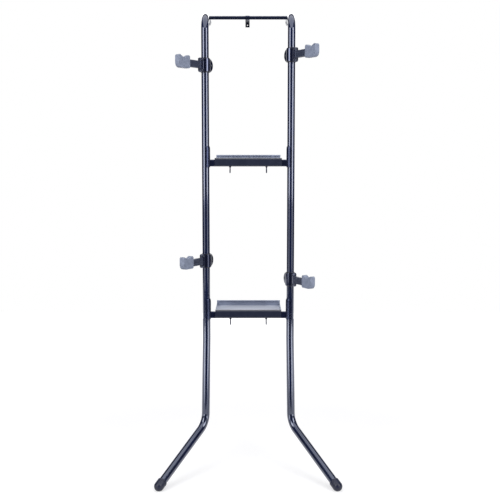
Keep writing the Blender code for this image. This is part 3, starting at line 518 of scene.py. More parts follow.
def sheet_outline(path: Profile, thickness: float) -> list[Point2]:
    """Return the closed outline of a bent sheet.

    Args:
        path: the middle line of its section.
        thickness: the sheet's thickness.

    Returns:
        The outline's points.
    """
    points = [Vector(point) for point in path]
    left, right = [], []
    for index, point in enumerate(points):
        before = points[max(index - 1, 0)]
        after = points[min(index + 1, len(points) - 1)]
        inward = (point - before).normalized() if index else (after - point).normalized()
        outward = (after - point).normalized() if index < len(points) - 1 else inward
        bisector = (inward + outward).normalized()
        normal = Vector((-bisector.y, bisector.x))
        reach = thickness / 2 / max(normal.dot(Vector((-inward.y, inward.x))), 0.3)
        left.append(tuple(point + normal * reach))
        right.append(tuple(point - normal * reach))
    return left + right[::-1]


def hollow_sweep(points: Sequence[Vector], outer: float, inner: float, sides: int, rim: float) -> Solid:
    """Sweep a tube along a path, with rounded rims at its open ends.

    Args:
        points: the path.
        outer: the tube's outer radius.
        inner: its inner radius.
        sides: how many facets it has round it.
        rim: the radius of the rims' outer edge.

    Returns:
        The tube's mesh.
    """
    bm = bmesh.new()
    frames = path_frames(points)
    steps = 3
    trims = [(rim * (1 - math.sin(angle)), rim * (1 - math.cos(angle)))
             for angle in (math.pi / 2 * k / steps for k in range(steps, -1, -1))]
    outside = [(moved(frames[0], depth), outer - cut) for depth, cut in trims]
    outside += [(place, outer) for place in frames[1:-1]]
    outside += [(moved(frames[-1], -depth), outer - cut) for depth, cut in reversed(trims)]
    inside = [(place, inner) for place in reversed(frames)]
    return skin(bm, [ring(bm, place, radius, sides) for place, radius in outside + inside], closed=True)


def solid_sweep(points: Sequence[Vector], radii: Sequence[float], sides: int, closed: bool = False) -> Solid:
    """Sweep a solid wire along a path.

    Args:
        points: the path.
        radii: the wire's radius at each point.
        sides: how many facets it has round it.
        closed: whether the wire is an endless loop.

    Returns:
        The wire's mesh.
    """
    bm = bmesh.new()
    frames = path_frames(points, closed)
    return skin(bm, [ring(bm, place, radius, sides) for place, radius in zip(frames, radii)], closed)


def turned(place: Matrix, profile: Profile, sides: int, closed: bool = False) -> Solid:
    """Turn a profile of (distance, radius) pairs about the Z axis of a frame.

    Args:
        place: the frame.
        profile: the profile, from one end to the other.
        sides: how many facets it has round it.
        closed: whether the profile closes on itself, as a ring's does.

    Returns:
        The turned solid, with flat ends unless it is closed.
    """
    bm = bmesh.new()
    loops = [ring(bm, moved(place, distance), radius, sides) for distance, radius in profile]
    return skin(bm, loops, closed)


def inset_profile(radius: float, insets: Profile) -> list[Point2]:
    """Return a turned profile from (distance, depth below the radius) pairs."""
    return [(distance, radius - inset) for distance, inset in insets]


def rod(place: Matrix, radius: float, length: float, sides: int) -> Solid:
    """Return a plain round rod along the Z axis of a frame."""
    return turned(place, [(0.0, radius), (length, radius)], sides)


def block(low: Sequence[float], high: Sequence[float]) -> Solid:
    """Return a box between two corners.

    Args:
        low: its lowest corner.
        high: its highest corner.

    Returns:
        The box's mesh.
    """
    bm = bmesh.new()
    bmesh.ops.create_cube(bm, size=1.0)
    bmesh.ops.scale(bm, vec=[high[k] - low[k] for k in range(3)], verts=bm.verts)
    bmesh.ops.translate(bm, vec=[(high[k] + low[k]) / 2 for k in range(3)], verts=bm.verts)
    return bm


def span(first: float, second: float) -> Point2:
    """Return two values in rising order."""
    return (first, second) if first < second else (second, first)


def extruded(outline: Profile, axis: Vector, ends: Point2) -> Solid:
    """Extrude an outline along X, from (y, z) points, or along Y, from (x, z) points.

    Args:
        outline: the outline's points.
        axis: X_AXIS or Y_AXIS.
        ends: where the solid starts and ends along the axis.

    Returns:
        The solid's mesh.
    """
    bm = bmesh.new()
    loops = [[bm.verts.new((level, first, second) if axis == X_AXIS else (first, level, second))
              for first, second in outline] for level in ends]
    return skin(bm, loops)


def hull_plate(discs: Sequence[Corner], levels: Point2, steps: int) -> Solid:
    """Return the flat plate that wraps several discs.

    Args:
        discs: (x, z, radius) of each disc.
        levels: the plate's two faces along Y.
        steps: how many corners each disc has.

    Returns:
        The plate's mesh.
    """
    bm = bmesh.new()
    for x, z, radius in discs:
        for k in range(steps):
            angle = 2 * math.pi * k / steps
            for level in levels:
                bm.verts.new((x + radius * math.cos(angle), level, z + radius * math.sin(angle)))
    bmesh.ops.convex_hull(bm, input=bm.verts)
    bmesh.ops.delete(bm, geom=[vertex for vertex in bm.verts if not vertex.link_faces], context="VERTS")
    bmesh.ops.dissolve_limit(bm, angle_limit=math.radians(0.5), verts=bm.verts, edges=bm.edges)
    return bm


def round_rim(solid: Solid, levels: Sequence[float], radius: float) -> None:
    """Round a plate's edges that lie in given planes across Y.

    Args:
        solid: the plate, which is changed.
        levels: the planes, by their y.
        radius: the radius of the rounding.
    """
    rim = [edge for edge in solid.edges
           if any(all(abs(vertex.co.y - level) < 1e-6 for vertex in edge.verts) for level in levels)]
    bmesh.ops.bevel(solid, geom=rim, offset=radius, segments=4, profile=0.5, affect="EDGES")


def add_object(name: str, data: Any) -> bpy.types.Object:
    """Add an object to the scene.

    Args:
        name: its name.
        data: its mesh, lamp or camera.

    Returns:
        The object.
    """
    thing = bpy.data.objects.new(name, data)
    bpy.context.scene.collection.objects.link(thing)
    return thing


def remove_object(thing: bpy.types.Object) -> None:
    """Take an object out of the file, with its mesh.

    Args:
        thing: the object.
    """
    mesh = thing.data
    bpy.data.objects.remove(thing)
    bpy.data.meshes.remove(mesh)


def raw_object(name: str, bm: Solid) -> bpy.types.Object:
    """Turn a shape, which is freed, into an object with its faces outwards.

    Args:
        name: the object's name, and its mesh's.
        bm: the shape.

    Returns:
        The object.
    """
    bmesh.ops.recalc_face_normals(bm, faces=bm.faces)
    mesh = bpy.data.meshes.new(name)
    bm.to_mesh(mesh)
    bm.free()
    return add_object(name, mesh)


def evaluated(body: bpy.types.Object) -> bpy.types.Mesh:
    """Apply an object's modifiers, remove the object with its mesh, and return the result.

    Args:
        body: the object, linked to the scene.

    Returns:
        The new mesh.
    """
    bpy.context.view_layer.update()
    graph = bpy.context.evaluated_depsgraph_get()
    mesh = bpy.data.meshes.new_from_object(body.evaluated_get(graph), preserve_all_data_layers=True,
                                           depsgraph=graph)
    remove_object(body)
    return mesh


def shaded(name: str, mesh: bpy.types.Mesh, crisp_deg: float) -> bpy.types.Mesh:
    """Shade a mesh smooth up to an angle, with normals that keep its large faces true.

    Args:
        name: the finished mesh's name.
        mesh: the mesh, which is used up.
        crisp_deg: edges sharper than this stay crisp.

    Returns:
        The finished mesh.
    """
    mesh.shade_smooth()
    mesh.set_sharp_from_angle(angle=math.radians(crisp_deg))
    body = add_object(name, mesh)
    body.modifiers.new("Weighted", "WEIGHTED_NORMAL").keep_sharp = True
    finished = evaluated(body)
    finished.name = name
    return finished


def carved(name: str, base: Solid, tools: Sequence[Step] = (), edge: float = 0.0, segments: int = 2,
           edge_deg: float = 40.0, crisp_deg: float = CRISP_DEG) -> bpy.types.Mesh:
    """Cut and join solids, round the edges that are left, and shade the result.

    Args:
        name: the mesh's name.
        base: the first solid.
        tools: what is done to it, in order.
        edge: the radius of its rounded edges, or 0.
        segments: how many facets each rounded edge has.
        edge_deg: edges sharper than this are rounded.
        crisp_deg: edges sharper than this stay crisp.

    Returns:
        The finished mesh.
    """
    body = raw_object(name, base)
    helpers = []
    for operation, solid in tools:
        step = body.modifiers.new(operation.name, "BOOLEAN")
        step.operation = operation.value
        step.object = raw_object(f"{name}_tool", solid)
        helpers.append(step.object)
    if edge:
        body.modifiers.new("Weld", "WELD").merge_threshold = 0.00002
        bevel = body.modifiers.new("Bevel", "BEVEL")
        bevel.width = edge
        bevel.segments = segments
        bevel.limit_method = "ANGLE"
        bevel.angle_limit = math.radians(edge_deg)
    mesh = evaluated(body)
    for helper in helpers:
        remove_object(helper)
    return shaded(name, mesh, crisp_deg)


def shared(name: str, build: Callable[..., bpy.types.Mesh], *details: Any) -> bpy.types.Mesh:
    """Return the mesh of that name, which the first call builds from its name and details."""
    return bpy.data.meshes.get(name) or build(name, *details)


def cutter(centre: Vector, direction: Vector, radius: float, length: float, sides: int = 24) -> Step:
    """Return the cut of a round hole.

    Args:
        centre: the middle of the hole.
        direction: the hole's axis.
        radius: the hole's radius.
        length: how long the cutter is.
        sides: how many facets it has round it.

    Returns:
        The cut, as carved() takes it.
    """
    towards = Y_AXIS if abs(direction.normalized().x) > 0.9 else X_AXIS
    place = aimed(centre - direction.normalized() * (length / 2), direction, towards)
    return Operation.CUT, rod(place, radius, length, sides)


def place_piece(mesh: bpy.types.Mesh, finish: Finish, *nodes: str, body: str = "frame",
                where: Optional[Matrix] = None, name: Optional[str] = None) -> None:
    """Put a finished piece on its body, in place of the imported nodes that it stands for.

    Args:
        mesh: its mesh.
        finish: its surface.
        nodes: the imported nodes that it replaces, if any.
        body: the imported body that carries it.
        where: its frame, in the layout where the uprights' axes are at y = 0.
        name: its name, where that isn't the mesh's.
    """
    piece = add_object(name or mesh.name, mesh)
    if not mesh.materials:
        mesh.materials.append(finish.build())
    piece.matrix_world = Matrix.Translation((0.0, AXIS_Y, 0.0)) @ (where or Matrix.Identity(4))
    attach(piece, body)
    if nodes:
        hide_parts(*nodes)
    LOG.info("%s: %d faces, %s", piece.name, len(mesh.polygons), finish.name)


# Screws


@dataclass(frozen=True)
class ButtonScrew:
    """A round-headed screw with a hexagon socket; its head's underside is at the frame's origin."""

    shank_radius: float
    head_radius: float
    head_height: float
    crown_deg: float = 22.0
    dome_steps: int = 6
    tip: float = 0.0006
    socket_share: float = 0.42
    sides: int = 32

    @property
    def hole(self) -> float:
        """Return the radius of the hole that it passes through."""
        return self.shank_radius + GAP

    def mesh(self, length: float) -> bpy.types.Mesh:
        """Return the mesh that screws of one size and length share."""
        name = f"button_screw_{round(self.shank_radius * 2000)}_{round(length * 10000)}"
        return shared(name, self.shape, length)

    def shape(self, name: str, length: float) -> bpy.types.Mesh:
        """Build the screw, with its shank along +Z.

        Args:
            name: the mesh's name.
            length: how long the shank is.

        Returns:
            The screw's mesh.
        """
        crown, steps = math.radians(self.crown_deg), self.dome_steps
        angles = [crown + (math.pi / 2 - crown) * k / steps for k in range(steps + 1)]
        profile = [(-self.head_height * math.cos(angle) / math.cos(crown),
                    self.head_radius * math.sin(angle)) for angle in angles]
        profile += [(0.0, self.shank_radius), (length - self.tip, self.shank_radius),
                    (length, self.shank_radius - self.tip)]
        socket = rod(Matrix.Translation((0.0, 0.0, -self.head_height * 1.5)),
                     self.head_radius * self.socket_share, self.head_height * 1.15, 6)
        return carved(name, turned(Matrix.Identity(4), profile, self.sides), [(Operation.CUT, socket)])


M5 = ButtonScrew(0.0025, 0.0046, 0.0027)
M6 = ButtonScrew(0.0030, 0.0055, 0.0035)


# Sub-assemblies


@dataclass
class TubeFrame:
    """The two bent upper tubes, the two legs and their rubber ends."""

    half_spacing: float = HALF_SPACING
    tube_radius: float = TUBE_RADIUS
    tube_bore: float = 0.0160
    tube_rim: float = 0.0006
    run_height: float = RUN_HEIGHT
    bend_radius: float = 0.075
    run_reach: float = 0.2047
    leg_radius: float = 0.019
    leg_bore: float = 0.0178
    leg_rim: float = 0.0005
    leg_top: float = 0.7167
    plug_depth: float = 0.080
    leg_straight: float = 0.092
    knee_radius: float = 0.6
    corner_height: float = 0.208
    leg_bend_radius: float = 0.080
    splay_deg: float = 1.0
    foot: Vector = field(default_factory=lambda: Vector((0.399, -0.320, 0.0195)))
    cap_wall: float = 0.004
    cap_radius: float = 0.0225
    cap_length: float = 0.030
    cap_lip: Profile = ((0.0, 0.0018), (0.0004, 0.0008), (0.0012, 0.0002), (0.0030, 0.0))
    grips: Point2 = (0.0055, 0.0110)
    grip_depth: float = 0.0007
    grip_width: float = 0.0010
    wall_cap_radius: float = 0.0205
    wall_cap_length: float = 0.024
    wall_cap_lip: Profile = ((0.0, 0.0022), (0.0003, 0.0012), (0.0010, 0.0004), (0.0022, 0.0))
    wall_cap_groove: Profile = ((0.0150, 0.0), (0.0158, 0.0006), (0.0166, 0.0))
    wall_cap_edge: Point2 = (0.0010, 0.0009)
    sides: int = 56
    bend_steps: int = 20

    def leg_corner(self, side: Side) -> Vector:
        """Return the point where a leg turns towards its foot.

        Args:
            side: which side of the rack.

        Returns:
            The corner of the leg's axis.
        """
        drop = self.leg_top - self.leg_straight - self.corner_height
        spread = self.half_spacing + drop * math.tan(math.radians(self.splay_deg))
        return Vector((side.value * spread, 0.0, self.corner_height))

    def foot_point(self, side: Side) -> Vector:
        """Return the centre of a foot's round end."""
        return Vector((side.value * self.foot.x, self.foot.y, self.foot.z))

    def upright(self, side: Side) -> None:
        """Build one bent upper tube.

        Args:
            side: which side of the rack.
        """
        x = side.value * self.half_spacing
        corners = [Vector((x, 0.0, self.leg_top - self.plug_depth)), Vector((x, 0.0, self.run_height)),
                   Vector((x, self.run_reach, self.run_height))]
        path = arc_path(corners, self.bend_radius, self.bend_steps)
        tube = hollow_sweep(path, self.tube_radius, self.tube_bore, self.sides, self.tube_rim)
        place_piece(carved(f"{side.word}_bent_upright", tube), TUBE_COAT, f"{side.word}_upright")

    def leg(self, side: Side) -> None:
        """Build one leg tube, which the upper tube plugs into.

        Args:
            side: which side of the rack.
        """
        top = Vector((side.value * self.half_spacing, 0.0, self.leg_top))
        knee = top - Vector((0.0, 0.0, self.leg_straight))
        foot, corner = self.foot_point(side), self.leg_corner(side)
        end = foot - (foot - corner).normalized() * GAP
        soft_knee = arc_path([top, knee, corner], self.knee_radius, 4)[:-1]
        path = soft_knee + arc_path([soft_knee[-1], corner, end], self.leg_bend_radius, self.bend_steps)[1:]
        tube = hollow_sweep(path, self.leg_radius, self.leg_bore, self.sides, self.leg_rim)
        place_piece(carved(f"{side.word}_splayed_leg", tube), TUBE_COAT, f"{side.word}_leg")

    def foot_cap(self, side: Side) -> None:
        """Build one rubber foot: a cup with a lip and two grip rings, cut flat at the floor.

        Args:
            side: which side of the rack.
        """
        foot = self.foot_point(side)
        along = (foot - self.leg_corner(side)).normalized()
        start = aimed(foot - along * self.cap_length, along, X_AXIS)
        depth, radius = self.grip_depth, self.cap_radius
        insets = list(self.cap_lip)
        for grip in self.grips:
            inner = grip + depth + self.grip_width
            insets += [(grip, 0.0), (grip + depth, depth), (inner, depth), (inner + depth, 0.0)]
        angles = [math.radians(degrees) for degrees in range(0, 90, 6)]
        dome = [(self.cap_length + radius * math.sin(angle), radius * math.cos(angle)) for angle in angles]
        bore = rod(moved(start, -self.cap_wall), self.leg_radius + GAP, self.cap_wall + self.cap_length,
                   self.sides)
        floor = block((foot.x - FAR_THROUGH, foot.y - FAR_THROUGH, -FAR_THROUGH),
                      (foot.x + FAR_THROUGH, foot.y + FAR_THROUGH, 0.0))
        cup = turned(start, inset_profile(radius, insets) + dome, self.sides)
        mesh = carved(f"{side.word}_rubber_foot", cup, [(Operation.CUT, floor), (Operation.CUT, bore)],
                      crisp_deg=RUBBER_CRISP_DEG)
        place_piece(mesh, FOOT_RUBBER, f"{side.word}_foot_cap")

    def wall_cap(self, side: Side) -> None:
        """Build one pale rubber cup, which rests on the wall.

        Args:
            side: which side of the rack.
        """
        rear = self.run_reach + GAP + self.cap_wall
        place = aimed(Vector((side.value * self.half_spacing, rear, self.run_height)), -Y_AXIS, X_AXIS)
        length, (edge, inset) = self.wall_cap_length, self.wall_cap_edge
        profile = inset_profile(self.wall_cap_radius, [*self.wall_cap_lip, *self.wall_cap_groove,
                                                       (length - edge, 0.0), (length, inset)])
        bore = rod(moved(place, self.cap_wall), self.tube_radius + GAP, length, self.sides)
        mesh = carved(f"{side.word}_wall_buffer", turned(place, profile, self.sides),
                      [(Operation.CUT, bore)], crisp_deg=RUBBER_CRISP_DEG)
        place_piece(mesh, PALE_RUBBER, f"{side.word}_wall_cap")

    def build(self) -> None:
        """Build both sides."""
        for side in Side:
            for part in (self.upright, self.leg, self.foot_cap, self.wall_cap):
                part(side)


@dataclass
class TopBar:
    """The bar between the two top runs, and the strap that ties it to the wall."""

    bar_radius: float = 0.008
    bar_bore: float = 0.0068
    bar_rim: float = 0.0004
    bar_y: float = 0.080
    height: float = RUN_HEIGHT
    half_spacing: float = HALF_SPACING
    tube_radius: float = TUBE_RADIUS
    cope_share: float = 0.55
    weld_radius: float = 0.0016
    weld_ripple: float = 0.10
    weld_beads: int = 12
    strip_x: float = -0.004
    strip_width: float = 0.020
    strip_thickness: float = 0.0015
    strip_bend: float = 0.0022
    strip_edge: float = 0.0003
    lap: float = 0.030
    screw_share: float = 0.6
    wall_y: float = 0.209
    drop: float = 0.003
    plate_height: float = 0.020
    plate_hole: float = 0.0025
    plate_hole_length: float = 0.01
    lap_hole_length: float = 0.02
    bead_radius: float = 0.0009
    bead_spacing: float = 0.009
    bead_inset: float = 0.004
    bead_end: float = 0.006
    bead_fall: float = 0.9
    bead_taper: float = 0.001
    bead_tip: float = 0.4
    nut_height: float = 0.0038
    nut_radius: float = 0.0050
    nut_bore: float = 0.0031
    nut_chamfer: float = 0.0005

    @property
    def half_lap(self) -> float:
        """Return how far each lap's middle line is from the bar's height."""
        return (self.strip_thickness + GAP) / 2

    @property
    def screw_y(self) -> float:
        """Return where the clamp screw passes through the strap."""
        return self.bar_y + self.bar_radius + self.lap * self.screw_share

    def bar(self) -> None:
        """Build the bar, coped to the tubes."""
        reach = X_AXIS * (self.half_spacing - self.tube_radius * self.cope_share)
        middle = Vector((0.0, self.bar_y, self.height))
        bar = hollow_sweep([middle - reach, middle + reach], self.bar_radius, self.bar_bore, 40,
                           self.bar_rim)
        tools = [cutter(middle + X_AXIS * (side.value * self.half_spacing), Y_AXIS, self.tube_radius + GAP,
                        FAR_THROUGH, 64) for side in Side]
        place_piece(carved("cross_bar", bar, tools), BLACK_COAT, "top_bar")

    def weld(self, side: Side) -> None:
        """Build the weld bead where the bar meets one tube.

        Args:
            side: which side of the rack.
        """
        points, radii = [], []
        steps = 72
        for k in range(steps):
            angle = 2 * math.pi * k / steps
            rise = self.bar_radius * math.sin(angle)
            depth = math.sqrt(self.tube_radius ** 2 - rise ** 2)
            points.append(Vector((side.value * (self.half_spacing - depth - GAP),
                                  self.bar_y + self.bar_radius * math.cos(angle), self.height + rise)))
            radii.append(self.weld_radius * (1 + self.weld_ripple * math.sin(self.weld_beads * angle)))
        bead = solid_sweep(points, radii, 10, closed=True)
        place_piece(carved(f"{side.word}_bar_weld", bead, crisp_deg=60.0), BLACK_COAT)

    def strip_path(self) -> list[Point2]:
        """Return the middle line of the strap's section, as (y, z).

        Returns:
            The points from the lap's upper end, round the bar and down to the plate's foot.
        """
        radius = self.bar_radius + GAP + self.strip_thickness / 2
        lap_end = self.bar_y + radius + self.lap
        start = math.asin(self.half_lap / radius)
        steps = 44
        angles = [start + (2 * math.pi - 2 * start) * k / steps for k in range(steps + 1)]
        plate_y = self.wall_y - self.strip_thickness / 2
        low = self.height - self.half_lap
        corners = [(lap_end, low), (lap_end + self.bead_inset, low), (plate_y, low - self.drop),
                   (plate_y, low - self.drop - self.plate_height)]
        return [(lap_end, self.height + self.half_lap),
                *((self.bar_y + radius * math.cos(angle), self.height + radius * math.sin(angle))
                  for angle in angles),
                *section_path(corners, self.strip_bend, 6)]

    def bracket(self) -> None:
        """Build the strap with its two pressed beads and the wall plate's hole."""
        ends = (self.strip_x - self.strip_width / 2, self.strip_x + self.strip_width / 2)
        strip = extruded(sheet_outline(self.strip_path(), self.strip_thickness), X_AXIS, ends)
        plate_middle = self.height - self.half_lap - self.drop - self.plate_height / 2
        tools = [cutter(Vector((self.strip_x, self.wall_y, plate_middle)), Y_AXIS, self.plate_hole,
                        self.plate_hole_length),
                 cutter(Vector((self.strip_x, self.screw_y, self.height)), Z_AXIS, M5.hole,
                        self.lap_hole_length)]
        underside = self.height - self.half_lap - self.strip_thickness / 2
        bead_y = self.bar_y + self.bar_radius + self.lap + 2 * self.bead_inset
        taper, tip = self.bead_taper, self.bead_radius * self.bead_tip
        for direction in (-1, 1):
            x = self.strip_x + direction * self.bead_spacing / 2
            start = Vector((x, bead_y, underside))
            run = Vector((x, self.wall_y - self.bead_end, underside - self.drop * self.bead_fall)) - start
            profile = [(0.0, tip), (taper, self.bead_radius), (run.length - taper, self.bead_radius),
                       (run.length, tip)]
            tools.append((Operation.JOIN, turned(aimed(start, run, X_AXIS), profile, 16)))
        place_piece(carved("wall_strap", strip, tools, self.strip_edge, 1, 60.0), BLACK_COAT, "wall_bracket")

    def fasteners(self) -> None:
        """Build the clamp screw and its nut."""
        lap = self.strip_thickness + GAP / 2
        middle = Vector((self.strip_x, self.screw_y, self.height))
        place_piece(M5.mesh(2 * (lap + GAP) + self.nut_height + GAP), ZINC_PLATE, "wall_bracket_screw",
                    where=moved(Matrix.Translation(middle), -lap - GAP), name="strap_screw")
        edge, high, radius = self.nut_chamfer, self.nut_height, self.nut_radius
        nut = turned(moved(Matrix.Translation(middle), lap + GAP),
                     [(0.0, radius - edge), (edge, radius), (high - edge, radius), (high, radius - edge),
                      (high, self.nut_bore), (0.0, self.nut_bore)], 6, closed=True)
        place_piece(carved("strap_nut", nut, crisp_deg=20.0), ZINC_PLATE, "wall_bracket_nut")

    def build(self) -> None:
        """Build the bar, its welds, the strap and its fasteners."""
        self.bar()
        for side in Side:
            self.weld(side)
        self.bracket()
        self.fasteners()


@dataclass
class Shelf:
    """One shelf: rail, tray, two moulded connectors and two hooks."""

    level: Level
    half_width: float = 0.157
    rail_height: float = 0.040
    rail_depth: float = 0.020
    rail_corner: float = 0.0085
    rail_wall: float = 0.0015
    rail_edge: float = 0.0004
    sheet: float = 0.0015
    sheet_edge: float = 0.0003
    sheet_bend: float = 0.0024
    floor_drop: float = 0.011
    tray_back: float = 0.186
    back_lip: float = 0.026
    lip_slope: float = 0.0001
    side_lip: float = 0.011
    side_corners: Point2 = (0.0008, 0.004)
    hem: float = 0.005
    skirt: float = 0.024
    half_spacing: float = HALF_SPACING
    saddle_bore: float = 0.0178
    saddle_wall: float = 0.0035
    saddle_wrap: float = 0.002
    open_width: float = 0.08
    cut_past: float = 0.02
    saddle_below: float = 0.004
    saddle_above: float = 0.054
    saddle_foot: Profile = ((0.0, 0.0014), (0.0012, 0.0003), (0.004, 0.0))
    saddle_top: Profile = ((0.014, 0.0), (0.006, 0.0006), (0.0, 0.0024))
    saddle_edge: float = 0.0007
    ear_height: float = 0.032
    ear_depth: float = 0.016
    ear_corner: float = 0.005
    ear_root: float = 0.0105
    spigot_length: float = 0.028
    spigot_root: float = 0.004
    screw_rise: float = 0.018
    screw_hole: float = 0.014
    screw_length: float = 0.013
    hook_x: float = 0.085
    wire: float = 0.0027
    wire_hole: float = 0.008
    hook_drop: float = 0.031
    hook_radius: float = 0.009
    hook_tip: float = 0.007
    hook_edge: float = 0.0006
    shank: float = 0.009
    collar_radius: float = 0.0050
    collar_height: float = 0.0038
    collar_slope: float = 0.0005

    @property
    def top(self) -> float:
        """Return the height of the rail's top."""
        return self.level.value

    @property
    def bottom(self) -> float:
        """Return the height of the rail's bottom."""
        return self.top - self.rail_height

    @property
    def middle(self) -> float:
        """Return the height of the rail's middle."""
        return self.top - self.rail_height / 2

    def rail(self) -> None:
        """Build the rail, an oval tube with open ends."""
        bm = bmesh.new()
        loops = []
        for x, inset in ((-1, 0.0), (1, 0.0), (1, self.rail_wall), (-1, self.rail_wall)):
            deep, tall = self.rail_depth / 2 - inset, self.rail_height / 2 - inset
            outline = rounded_rectangle((-deep, self.middle - tall), (deep, self.middle + tall),
                                        (self.rail_corner - inset,) * 2, 10)
            loops.append([bm.verts.new((x * self.half_width, y, z)) for y, z in outline])
        tools = [cutter(Vector((x, 0.0, self.bottom)), Z_AXIS, self.wire + GAP, self.wire_hole)
                 for x in (-self.hook_x, self.hook_x)]
        mesh = carved(f"{self.level.word}_front_rail", skin(bm, loops, closed=True), tools, self.rail_edge,
                      edge_deg=60.0)
        place_piece(mesh, SHEET_COAT, f"{self.level.word}_rail")

    def tray(self) -> None:
        """Build the folded tray: skirt, floor, hemmed back lip and two side lips."""
        half = self.sheet / 2
        floor = self.top - self.floor_drop
        front, back = self.rail_depth / 2 + GAP, self.tray_back - half
        lip_top = floor + self.back_lip - half
        corners = [(front + half, floor - self.skirt), (front + half, floor - half), (back, floor - half),
                   (back, lip_top - self.lip_slope), (back - self.hem, lip_top),
                   (back - self.hem, lip_top - self.hem)]
        section = sheet_outline(section_path(corners, self.sheet_bend, 6), self.sheet)
        sheet = extruded(section, X_AXIS, (-self.half_width + half / 2, self.half_width - half / 2))
        outline = rounded_rectangle((front, floor - self.sheet), (self.tray_back, floor + self.side_lip),
                                    self.side_corners, 6)
        edges = [(side.value * self.half_width, side.value * (self.half_width - self.sheet))
                 for side in Side]
        tools = [(Operation.JOIN, extruded(outline, X_AXIS, span(*edge))) for edge in edges]
        mesh = carved(f"{self.level.word}_folded_tray", sheet, tools, self.sheet_edge, edge_deg=50.0)
        place_piece(mesh, TRAY_COAT, f"{self.level.word}_tray")

    def connector(self, side: Side) -> None:
        """Build one moulded saddle with its ear and spigot, and its screw.

        Args:
            side: which side of the rack.
        """
        x, deep = side.value * self.half_spacing, self.ear_depth / 2
        low, high = self.bottom - self.saddle_below, self.top + self.saddle_above
        height, outer = high - low, self.saddle_bore + self.saddle_wall
        top = [(height - distance, inset) for distance, inset in self.saddle_top]
        profile = inset_profile(outer, [*self.saddle_foot, *top])
        shell = turned(Matrix.Translation((x, 0.0, low)), profile, 72)
        ear_low = self.bottom + GAP
        ear_ends = span(side.value * (self.half_width + GAP),
                        side.value * (self.half_spacing - self.ear_root))
        ear = extruded(rounded_rectangle((-deep, ear_low), (deep, ear_low + self.ear_height),
                                         (self.ear_corner,) * 2, 6), X_AXIS, ear_ends)
        bore = cutter(Vector((x, 0.0, (low + high) / 2)), Z_AXIS, self.saddle_bore,
                      height + self.cut_past, 72)
        open_ends = span(x + side.value * self.saddle_wrap, x + side.value * self.open_width)
        opening = block((open_ends[0], -FAR_THROUGH, low - self.cut_past),
                        (open_ends[1], FAR_THROUGH, high + self.cut_past))
        spigot_ends = span(side.value * (self.half_width - self.spigot_length),
                           side.value * (self.half_width + self.spigot_root))
        spigot_half = self.rail_depth / 2 - self.rail_wall - GAP
        rise = self.rail_height / 2 - self.rail_corner
        spigot = block((spigot_ends[0], -spigot_half, self.middle - rise),
                       (spigot_ends[1], spigot_half, self.middle + rise))
        hole = cutter(Vector((x, outer, self.top + self.screw_rise)), Y_AXIS, M5.hole, self.screw_hole)
        piece = f"{self.level.word}_{side.word}"
        mesh = carved(f"{piece}_moulded_saddle", shell, [
            (Operation.JOIN, ear), bore, (Operation.CUT, opening), (Operation.JOIN, spigot), hole],
            self.saddle_edge, edge_deg=45.0)
        place_piece(mesh, BLACK_NYLON, f"{piece}_connector")
        seat = aimed(Vector((x, outer + GAP, self.top + self.screw_rise)), -Y_AXIS, X_AXIS)
        place_piece(M5.mesh(self.screw_length), ZINC_PLATE, f"{piece}_connector_screw", where=seat,
                    name=f"{piece}_saddle_screw")

    def hook(self, side: Side) -> None:
        """Build one wire hook with its collar.

        Args:
            side: which side of the rack.
        """
        x, edge, steps = side.value * self.hook_x, self.hook_edge, 24
        top = self.bottom + self.shank
        bend_z = self.bottom - self.hook_drop + self.hook_radius + self.wire
        points = [Vector((x, 0.0, top)), Vector((x, 0.0, top - edge))]
        for angle in [math.pi * k / steps for k in range(steps + 1)]:
            points.append(Vector((x, self.hook_radius * (math.cos(angle) - 1),
                                  bend_z - self.hook_radius * math.sin(angle))))
        radii = [self.wire - edge] + [self.wire] * (steps + 2)
        tip = points[-1] + Vector((0.0, 0.0, self.hook_tip - self.wire))
        for angle in [math.radians(degrees) for degrees in range(0, 90, 20)]:
            points.append(tip + Vector((0.0, 0.0, self.wire * math.sin(angle))))
            radii.append(self.wire * math.cos(angle))
        high, wide, slope = self.collar_height, self.collar_radius, self.collar_slope
        collar = turned(Matrix.Translation((x, 0.0, self.bottom - GAP - high)),
                        [(0.0, wide - edge), (slope, wide), (high - slope, wide), (high, wide - edge)], 6)
        piece = f"{self.level.word}_{side.word}"
        mesh = carved(f"{piece}_wire_hook", solid_sweep(points, radii, 24), [(Operation.JOIN, collar)],
                      crisp_deg=28.0)
        place_piece(mesh, BLACK_COAT, f"{piece}_hook")

    def build(self) -> None:
        """Build the whole shelf."""
        self.rail()
        self.tray()
        for side in Side:
            self.connector(side)
            self.hook(side)


